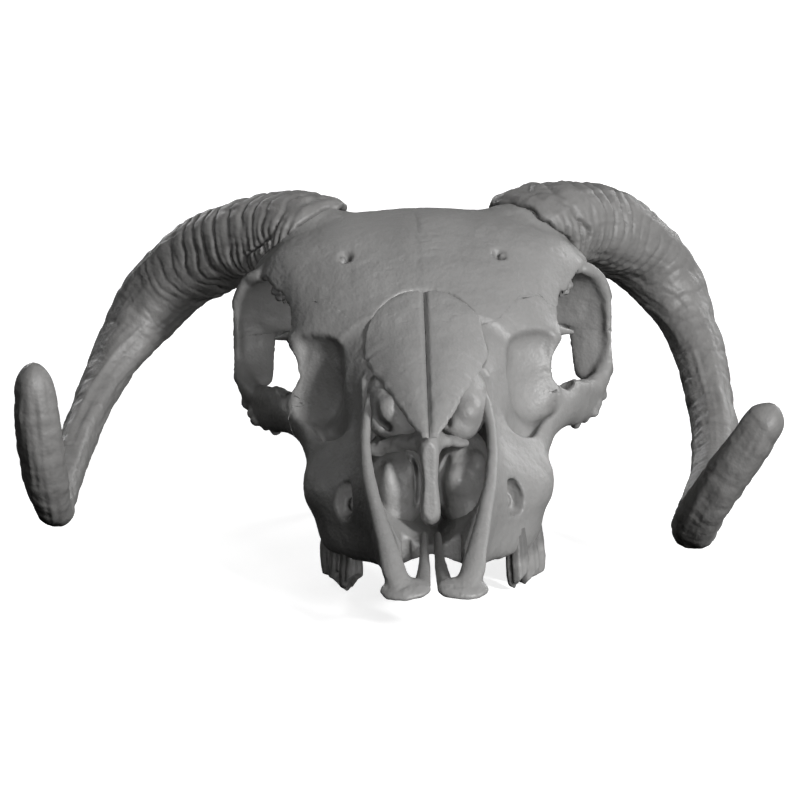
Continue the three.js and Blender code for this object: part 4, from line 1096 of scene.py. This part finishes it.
def incisive_block(side, size):
    """One incisive bone: rod, blade and palatine strip melted together, with a cup hollowed in the blade's
    underside."""
    inner, outer = 0.15 * side, 26 * side
    block = Block((min(inner, outer) - 1, -8, 6), (max(inner, outer) + 1, 86, 70), in_mm(size.fine_grid))
    rod = mirrored(INCISIVE_ROD, side) * [1, 1, 1, 0.82, 0.9]
    block.join(block.form(tube(rod, (side, -0.25, 0), step=0.6)))
    block.join(block.bar(PALATINE_BAR, side, (1, 0, 0), step=0.6), blend=1.5)
    block.join(block.bar(INCISIVE_LEDGE, side, (1, 0, 0.4 * side), step=0.6), blend=2)
    blade = block.ragged(block.egg(INCISIVE_BLADE, side), amount=0.25, scale=3, seed=120 + side)
    block.join(blade, blend=1.6)
    block.cut(block.egg(INCISIVE_CUP, side), blend=1)
    block.cut(block.egg(INCISIVE_NOTCH, side), blend=0.8)
    return block


def vomer_block(size):
    """The septum and the shelf of bone across the nose: a loft for the septum, whose top spreads into a T,
    and a tube for the shelf, thick on the animal's right and broken off on its left."""
    block = Block((-21, 42, 17), (15, 99, 78), in_mm(size.fine_grid))
    y = between(VOMER, 0.7)
    w, low, high = through(VOMER, y).T
    nil = 0 * y
    outline = [(nil, high), (0.9 * w, high - 2), (0.8 * w, (low + high) / 2), (0.9 * w, low + 2), (nil, low)]
    half = np.array([np.array(p) for p in outline]).transpose(2, 0, 1)
    block.join(block.form(loft(mirrored_rings(y, half, 40))))
    shelf = block.form(tube(SHELF, (0, 1, 0), step=0.6))
    block.join(block.ragged(shelf, amount=0.45, scale=3.0, seed=131), blend=4.5)
    return block


def concha_block(name, side, size):
    """A scroll of thin bone: an ellipsoid with swells melted on and a furrow cut along a curve round it."""
    values = CONCHAE[name]
    centre = np.array(values["centre"], float) * [side, 1, 1]
    radii = np.array(values["radii"], float)
    reach = radii.max() + 3
    block = Block(centre - reach, centre + reach, in_mm(size.fine_grid))
    scroll = block.ball(centre, radii, values["turn"])
    block.join(block.ragged(scroll, amount=0.3, scale=5, seed=140 + side))
    for swell in values["swells"][side]:
        block.join(block.ball(centre + np.array(swell[:3]), swell[3:6]), blend=2.6)
    for furrow in values["furrows"][side]:
        path = np.array(furrow, float)
        path[:, :3] += centre
        block.cut(block.form(tube(path, (1, 0.2, 0.1), sides=18, step=0.6)), blend=1.4)
    return block


def paint(name, look, tint, spread, roughness, pores_scale):
    """A procedural finish: base colour from two noises, with painted shade where the surface is closed in and
    a little painted light where it is open, with grain and pores from noise and cell distances as bump."""
    material = bpy.data.materials.new(name)
    material.use_nodes = True
    nodes, links = material.node_tree.nodes, material.node_tree.links
    shader = nodes["Principled BSDF"]
    shader.inputs["Roughness"].default_value = roughness
    shader.inputs["Specular IOR Level"].default_value = look.gloss

    def add(kind, **inputs):
        """A new node with these values in its sockets."""
        node = nodes.new(kind)
        for key, value in inputs.items():
            node.inputs[key.replace("_", " ")].default_value = value
        return node

    where = add("ShaderNodeTexCoord")
    broad = add("ShaderNodeTexNoise", Scale=38.0, Detail=5.0, Roughness=0.6)
    close = add("ShaderNodeTexNoise", Scale=420.0, Detail=4.0, Roughness=0.65)
    stretch = add("ShaderNodeMapping", Scale=(1.0, 0.4, 1.0))
    pores = add("ShaderNodeTexVoronoi", Scale=pores_scale)
    for node in (broad, close, stretch):
        links.new(where.outputs["Object"], node.inputs["Vector"])
    links.new(stretch.outputs["Vector"], pores.inputs["Vector"])

    half = add("ShaderNodeMath")
    half.operation = "MULTIPLY"
    half.inputs[1].default_value = 0.55
    mixed = add("ShaderNodeMath")
    mixed.operation = "MULTIPLY_ADD"
    mixed.inputs[1].default_value = 0.45
    links.new(broad.outputs["Fac"], half.inputs[0])
    links.new(close.outputs["Fac"], mixed.inputs[0])
    links.new(half.outputs["Value"], mixed.inputs[2])
    ramp = add("ShaderNodeValToRGB")
    for element, position, factor in zip(ramp.color_ramp.elements, (0.3, 0.7), (1 - spread, 1 + spread)):
        element.position = position
        element.color = (*[c * factor for c in tint], 1)
    links.new(mixed.outputs["Value"], ramp.inputs["Fac"])

    # Painted shade: the colour darkens where the surface is closed in, and painted light raises it by 6%
    # where it is open
    closed = add("ShaderNodeAttribute")
    closed.attribute_name = "closed_in"
    shade = add("ShaderNodeMapRange", From_Min=0.0, From_Max=1.2, To_Min=1.06, To_Max=1.0 - look.painted_shade_strength)
    tone = add("ShaderNodeVectorMath")
    tone.operation = "SCALE"
    links.new(closed.outputs["Fac"], shade.inputs["Value"])
    links.new(ramp.outputs["Color"], tone.inputs[0])
    links.new(shade.outputs["Result"], tone.inputs["Scale"])
    links.new(tone.outputs["Vector"], shader.inputs["Base Color"])

    grains = add("ShaderNodeBump", Strength=look.grain_strength, Distance=0.0005)
    holes = add("ShaderNodeBump", Strength=look.grain_strength * 0.7, Distance=0.0003)
    links.new(close.outputs["Fac"], grains.inputs["Height"])
    links.new(pores.outputs["Distance"], holes.inputs["Height"])
    links.new(grains.outputs["Normal"], holes.inputs["Normal"])
    links.new(holes.outputs["Normal"], shader.inputs["Normal"])
    return material


def finish_for(kind):
    """The finish of a kind of bone or horn, made once: its colour, how far that spreads, roughness and the
    scale of its pores."""
    look = bpy.context.scene.skull_look
    found = bpy.data.materials.get(kind)
    if found:
        return found
    tint, spread, roughness, pores_scale = {
        "dry_bone": (look.bone, 0.09, 0.5, 900.0),
        "thin_dry_bone": (look.thin_bone, 0.09, 0.52, 1100.0),
        "tooth_enamel": (look.enamel, 0.12, 0.45, 700.0),
        "horn_sheath": (look.horn, 0.14, 0.55, 800.0),
    }[kind]
    return paint(kind, look, tuple(tint), spread, roughness, pores_scale)


class SkullSize(bpy.types.PropertyGroup):
    """Sizes that a user would change."""

    bone_grid: bpy.props.FloatProperty(
        name="Bone grid",
        description="Step of the grid that the large bones are worked out on",
        default=0.00072,
        min=0.0005,
        max=0.002,
        precision=5,
        unit="LENGTH",
    )
    back_grid: bpy.props.FloatProperty(
        name="Braincase grid",
        description="Step of the grid that the braincase is worked out on",
        default=0.00095,
        min=0.0005,
        max=0.002,
        precision=5,
        unit="LENGTH",
    )
    fine_grid: bpy.props.FloatProperty(
        name="Fine grid",
        description="Step of the grid for the rods, septum and scrolls",
        default=0.0004,
        min=0.00025,
        max=0.001,
        precision=5,
        unit="LENGTH",
    )
    ring_spacing: bpy.props.FloatProperty(
        name="Ring spacing",
        description="Distance between a horn's broad rings",
        default=0.0052,
        min=0.002,
        max=0.012,
        precision=5,
        unit="LENGTH",
    )
    ring_depth: bpy.props.FloatProperty(
        name="Ring depth",
        description="Depth between a horn's broad rings",
        default=0.0013,
        min=0.0,
        max=0.003,
        precision=5,
        unit="LENGTH",
    )
    fold_spacing: bpy.props.FloatProperty(
        name="Fold spacing",
        description="Distance between the tight folds at a horn's base",
        default=0.0026,
        min=0.001,
        max=0.006,
        precision=5,
        unit="LENGTH",
    )
    fold_depth: bpy.props.FloatProperty(
        name="Fold depth",
        description="Depth of the tight folds at a horn's base",
        default=0.0019,
        min=0.0,
        max=0.003,
        precision=5,
        unit="LENGTH",
    )
    roughness_of_bone: bpy.props.FloatProperty(
        name="Weathering",
        description="How rough the surfaces of the bones are, 1 as found",
        default=1.0,
        min=0.0,
        max=3.0,
    )


class SkullLook(bpy.types.PropertyGroup):
    """Colours and finish that a user would change."""

    bone: bpy.props.FloatVectorProperty(
        name="Bone", description="Colour of the bones", default=(0.205, 0.203, 0.2),
        min=0, max=1, size=3, subtype="COLOR",
    )
    thin_bone: bpy.props.FloatVectorProperty(
        name="Thin bone", description="Colour of the nasal bones and scrolls", default=(0.215, 0.213, 0.21),
        min=0, max=1, size=3, subtype="COLOR",
    )
    enamel: bpy.props.FloatVectorProperty(
        name="Tooth", description="Colour of the cheek teeth", default=(0.205, 0.203, 0.2),
        min=0, max=1, size=3, subtype="COLOR",
    )
    horn: bpy.props.FloatVectorProperty(
        name="Horn", description="Colour of the horn sheaths", default=(0.15, 0.148, 0.145),
        min=0, max=1, size=3, subtype="COLOR",
    )
    gloss: bpy.props.FloatProperty(
        name="Gloss", description="How much light the surfaces mirror", default=0.5,
        min=0, max=1, subtype="FACTOR",
    )
    # How strong the painted shade is in closed-in places
    painted_shade_strength: bpy.props.FloatProperty(
        name="Painted shade", description="How much darker closed-in places are", default=0.45,
        min=0, max=1, subtype="FACTOR",
    )
    grain_strength: bpy.props.FloatProperty(
        name="Grain", description="Strength of the fine grain and pores", default=0.35,
        min=0, max=1, subtype="FACTOR",
    )


class SKULL_OT_bones(bpy.types.Operator):
    """Builds the face, frontals, braincase and cheek bones"""

    bl_idname = "skull.bones"
    bl_label = "Skull bones"

    def execute(self, context):
        size = context.scene.skull_size
        rough = size.roughness_of_bone
        finish = finish_for("dry_bone")
        front = skull_block(*FRONT_BLOCK, in_mm(size.bone_grid))
        open_nose(front)
        found = regions(front)
        del found["braincase"]
        for name, keep in found.items():
            surface, closed = weathered(front, front.surface(keep), rough)
            if name == "frontals":
                surface, closed = with_midline(surface, closed)
            add_piece(f"{name}_bone", surface, "bone", finish, NODES_OF[name], closed_in=closed)
        back = skull_block(*BACK_BLOCK, in_mm(size.back_grid))
        open_nose(back)
        surface, closed = weathered(back, back.surface(regions(back)["braincase"]), rough)
        add_piece("braincase_bone", surface, "bone", finish, NODES_OF["braincase"], closed_in=closed)
        return {"FINISHED"}


class SKULL_OT_nasals(bpy.types.Operator):
    """Builds the two nasal bones"""

    bl_idname = "skull.nasals"
    bl_label = "Nasal bones"

    def execute(self, context):
        finish = finish_for("thin_dry_bone")
        for name, side in SIDES:
            surface, closed = nasal_surface(side)
            nodes = [f"nasal_{name}"]
            add_piece(f"nasal_{name}_bone", surface, "thin_bone", finish, nodes, closed_in=closed)
        return {"FINISHED"}


class SKULL_OT_muzzle(bpy.types.Operator):
    """Builds the incisive bones"""

    bl_idname = "skull.muzzle"
    bl_label = "Incisive bones"

    def execute(self, context):
        size = context.scene.skull_size
        fine = 0.6 * size.roughness_of_bone
        finish = finish_for("dry_bone")
        for name, side in SIDES:
            block = incisive_block(side, size)
            x = block.lattice()[0]
            surface, closed = weathered(block, block.surface(side * x - GAP / 2), fine, seed=8)
            nodes = [f"incisive_{name}"]
            add_piece(f"incisive_{name}_bone", surface, "bone", finish, nodes, closed_in=closed)
        return {"FINISHED"}


class SKULL_OT_nose(bpy.types.Operator):
    """Builds the septum, its shelf and the scrolls inside the nose"""

    bl_idname = "skull.nose"
    bl_label = "Inside of the nose"

    def execute(self, context):
        size = context.scene.skull_size
        finish = finish_for("thin_dry_bone")
        block = vomer_block(size)
        surface, closed = weathered(block, block.surface(), 0.6 * size.roughness_of_bone, seed=9)
        add_piece("septum_bone", surface, "thin_bone", finish, ["vomer"], closed_in=closed)
        for kind in CONCHAE:
            for name, side in SIDES:
                block = concha_block(kind, side, size)
                surface, closed = weathered(block, block.surface(), 0.7 * size.roughness_of_bone, seed=10)
                nodes = [f"{kind}_{name}"]
                add_piece(f"{kind}_{name}_bone", surface, "thin_bone", finish, nodes, closed_in=closed)
        return {"FINISHED"}


class SKULL_OT_teeth(bpy.types.Operator):
    """Builds the cheek teeth"""

    bl_idname = "skull.teeth"
    bl_label = "Cheek teeth"

    def execute(self, context):
        finish = finish_for("tooth_enamel")
        for name, side in SIDES:
            nodes = [f"maxilla_{name}"]
            for number, row in enumerate(TEETH):
                seed = number + (len(TEETH) if side < 0 else 0)
                surface, closed = tooth_surface(row, side, seed, TOOTH_BREAK[number])
                piece = f"cheek_tooth_{name}_{number + 1}"
                add_piece(piece, surface, "bone", finish, nodes, closed_in=closed)
        return {"FINISHED"}


class SKULL_OT_horns(bpy.types.Operator):
    """Builds both horn sheaths"""

    bl_idname = "skull.horns"
    bl_label = "Horn sheaths"

    def execute(self, context):
        finish = finish_for("horn_sheath")
        for name, side in SIDES:
            surface, closed = horn_surface(side, context.scene.skull_size)
            nodes = [f"horn_{name}"]
            add_piece(f"horn_sheath_{name}", surface, "horn", finish, nodes, closed_in=closed)
        return {"FINISHED"}


def add_floor(scene):
    """A plain pale floor, glowing a little, whose light doesn't reach the skull."""
    material = bpy.data.materials.new("pale_floor")
    material.use_nodes = True
    shader = material.node_tree.nodes["Principled BSDF"]
    shader.inputs["Base Color"].default_value = (0.8, 0.8, 0.8, 1)
    shader.inputs["Roughness"].default_value = 0.9
    shader.inputs["Specular IOR Level"].default_value = 0.1
    shader.inputs["Emission Color"].default_value = (1, 1, 1, 1)
    shader.inputs["Emission Strength"].default_value = 0.75
    mesh = bpy.data.meshes.new("floor")
    mesh.from_pydata([(-6, -4, 0), (6, -4, 0), (6, 12, 0), (-6, 12, 0)], [], [(0, 1, 2, 3)])
    mesh.materials.append(material)
    floor = bpy.data.objects.new("floor", mesh)
    scene.collection.objects.link(floor)
    floor.visible_diffuse = False
    floor.visible_glossy = False


def add_camera(scene):
    """The camera at the photo's angle. It looks at one point of the skull from the direction that the angles
    above level and round give, turned over a little, with a lens that sees a given width there."""
    above, sideways, over = [math.radians(VIEW[key]) for key in ("above", "round", "over")]
    flat = math.cos(above)
    back = Vector((math.sin(sideways) * flat, -math.cos(sideways) * flat, math.sin(above)))
    right = Vector((math.cos(sideways), math.sin(sideways), 0))
    up = back.cross(right)
    across = right * math.cos(over) - up * math.sin(over)
    upwards = up * math.cos(over) + right * math.sin(over)
    place = Matrix((across, upwards, back)).transposed().to_4x4()
    place.translation = Vector(LOOKED_AT) + back * VIEW["away"]
    camera = bpy.data.objects.new("camera", bpy.data.cameras.new("camera"))
    camera.data.sensor_width = 36
    camera.data.lens = 36 * VIEW["away"] / VIEW["seen"]
    camera.data.clip_start = 0.05
    camera.data.clip_end = 50
    camera.matrix_world = place
    scene.collection.objects.link(camera)
    scene.camera = camera


def add_world(scene):
    """A dim room that is paler above than below."""
    world = bpy.data.worlds.new("white_room")
    scene.world = world
    world.use_nodes = True
    nodes, links = world.node_tree.nodes, world.node_tree.links
    background = nodes["Background"]
    background.inputs["Strength"].default_value = 0.03
    where = nodes.new("ShaderNodeTexCoord")
    parts = nodes.new("ShaderNodeSeparateXYZ")
    height = nodes.new("ShaderNodeMapRange")
    height.inputs["From Min"].default_value = -0.25
    height.inputs["From Max"].default_value = 0.35
    height.inputs["To Min"].default_value = 0.06
    links.new(where.outputs["Generated"], parts.inputs["Vector"])
    links.new(parts.outputs["Z"], height.inputs["Value"])
    links.new(height.outputs["Result"], background.inputs["Color"])


def add_lights(scene):
    """Round soft lights that face the skull. The front one casts no shadows."""
    for name, place, watts, width in LIGHTS:
        light = bpy.data.lights.new(name, "AREA")
        light.energy = watts
        light.shape = "DISK"
        light.size = width
        light.use_shadow = name != "front"
        lamp = bpy.data.objects.new(name, light)
        lamp.location = place
        facing = Vector(place) - Vector(LOOKED_AT)
        lamp.rotation_euler = facing.to_track_quat("Z", "Y").to_euler()
        scene.collection.objects.link(lamp)


class SKULL_OT_stage(bpy.types.Operator):
    """Sets up the floor, the light and the camera"""

    bl_idname = "skull.stage"
    bl_label = "Stage"

    def execute(self, context):
        add_floor(context.scene)
        add_camera(context.scene)
        add_world(context.scene)
        add_lights(context.scene)
        context.scene.view_settings.view_transform = "Standard"
        return {"FINISHED"}


STEPS = ("bones", "nasals", "muzzle", "nose", "teeth", "horns", "stage")


class SKULL_PT_panel(bpy.types.Panel):
    """Lists the sizes, the colours and the steps"""

    bl_idname = "SKULL_PT_panel"
    bl_label = "Goat skull"
    bl_space_type = "VIEW_3D"
    bl_region_type = "UI"
    bl_category = "Goat skull"

    def draw(self, context):
        for group in (context.scene.skull_size, context.scene.skull_look):
            box = self.layout.box()
            for key in group.__annotations__:
                box.prop(group, key)
        for step in STEPS:
            self.layout.operator(f"skull.{step}")


CLASSES = (
    SkullSize, SkullLook, SKULL_OT_bones, SKULL_OT_nasals, SKULL_OT_muzzle, SKULL_OT_nose, SKULL_OT_teeth,
    SKULL_OT_horns, SKULL_OT_stage, SKULL_PT_panel,
)


def register():
    """Adds the classes and the two groups of settings to Blender."""
    for made in CLASSES:
        bpy.utils.register_class(made)
    bpy.types.Scene.skull_size = bpy.props.PointerProperty(type=SkullSize)
    bpy.types.Scene.skull_look = bpy.props.PointerProperty(type=SkullLook)


def unregister():
    """Takes them out again."""
    del bpy.types.Scene.skull_look
    del bpy.types.Scene.skull_size
    for made in reversed(CLASSES):
        bpy.utils.unregister_class(made)


def main():
    register()
    for step in STEPS:
        getattr(bpy.ops.skull, step)()


if __name__ == "__main__":
    main()
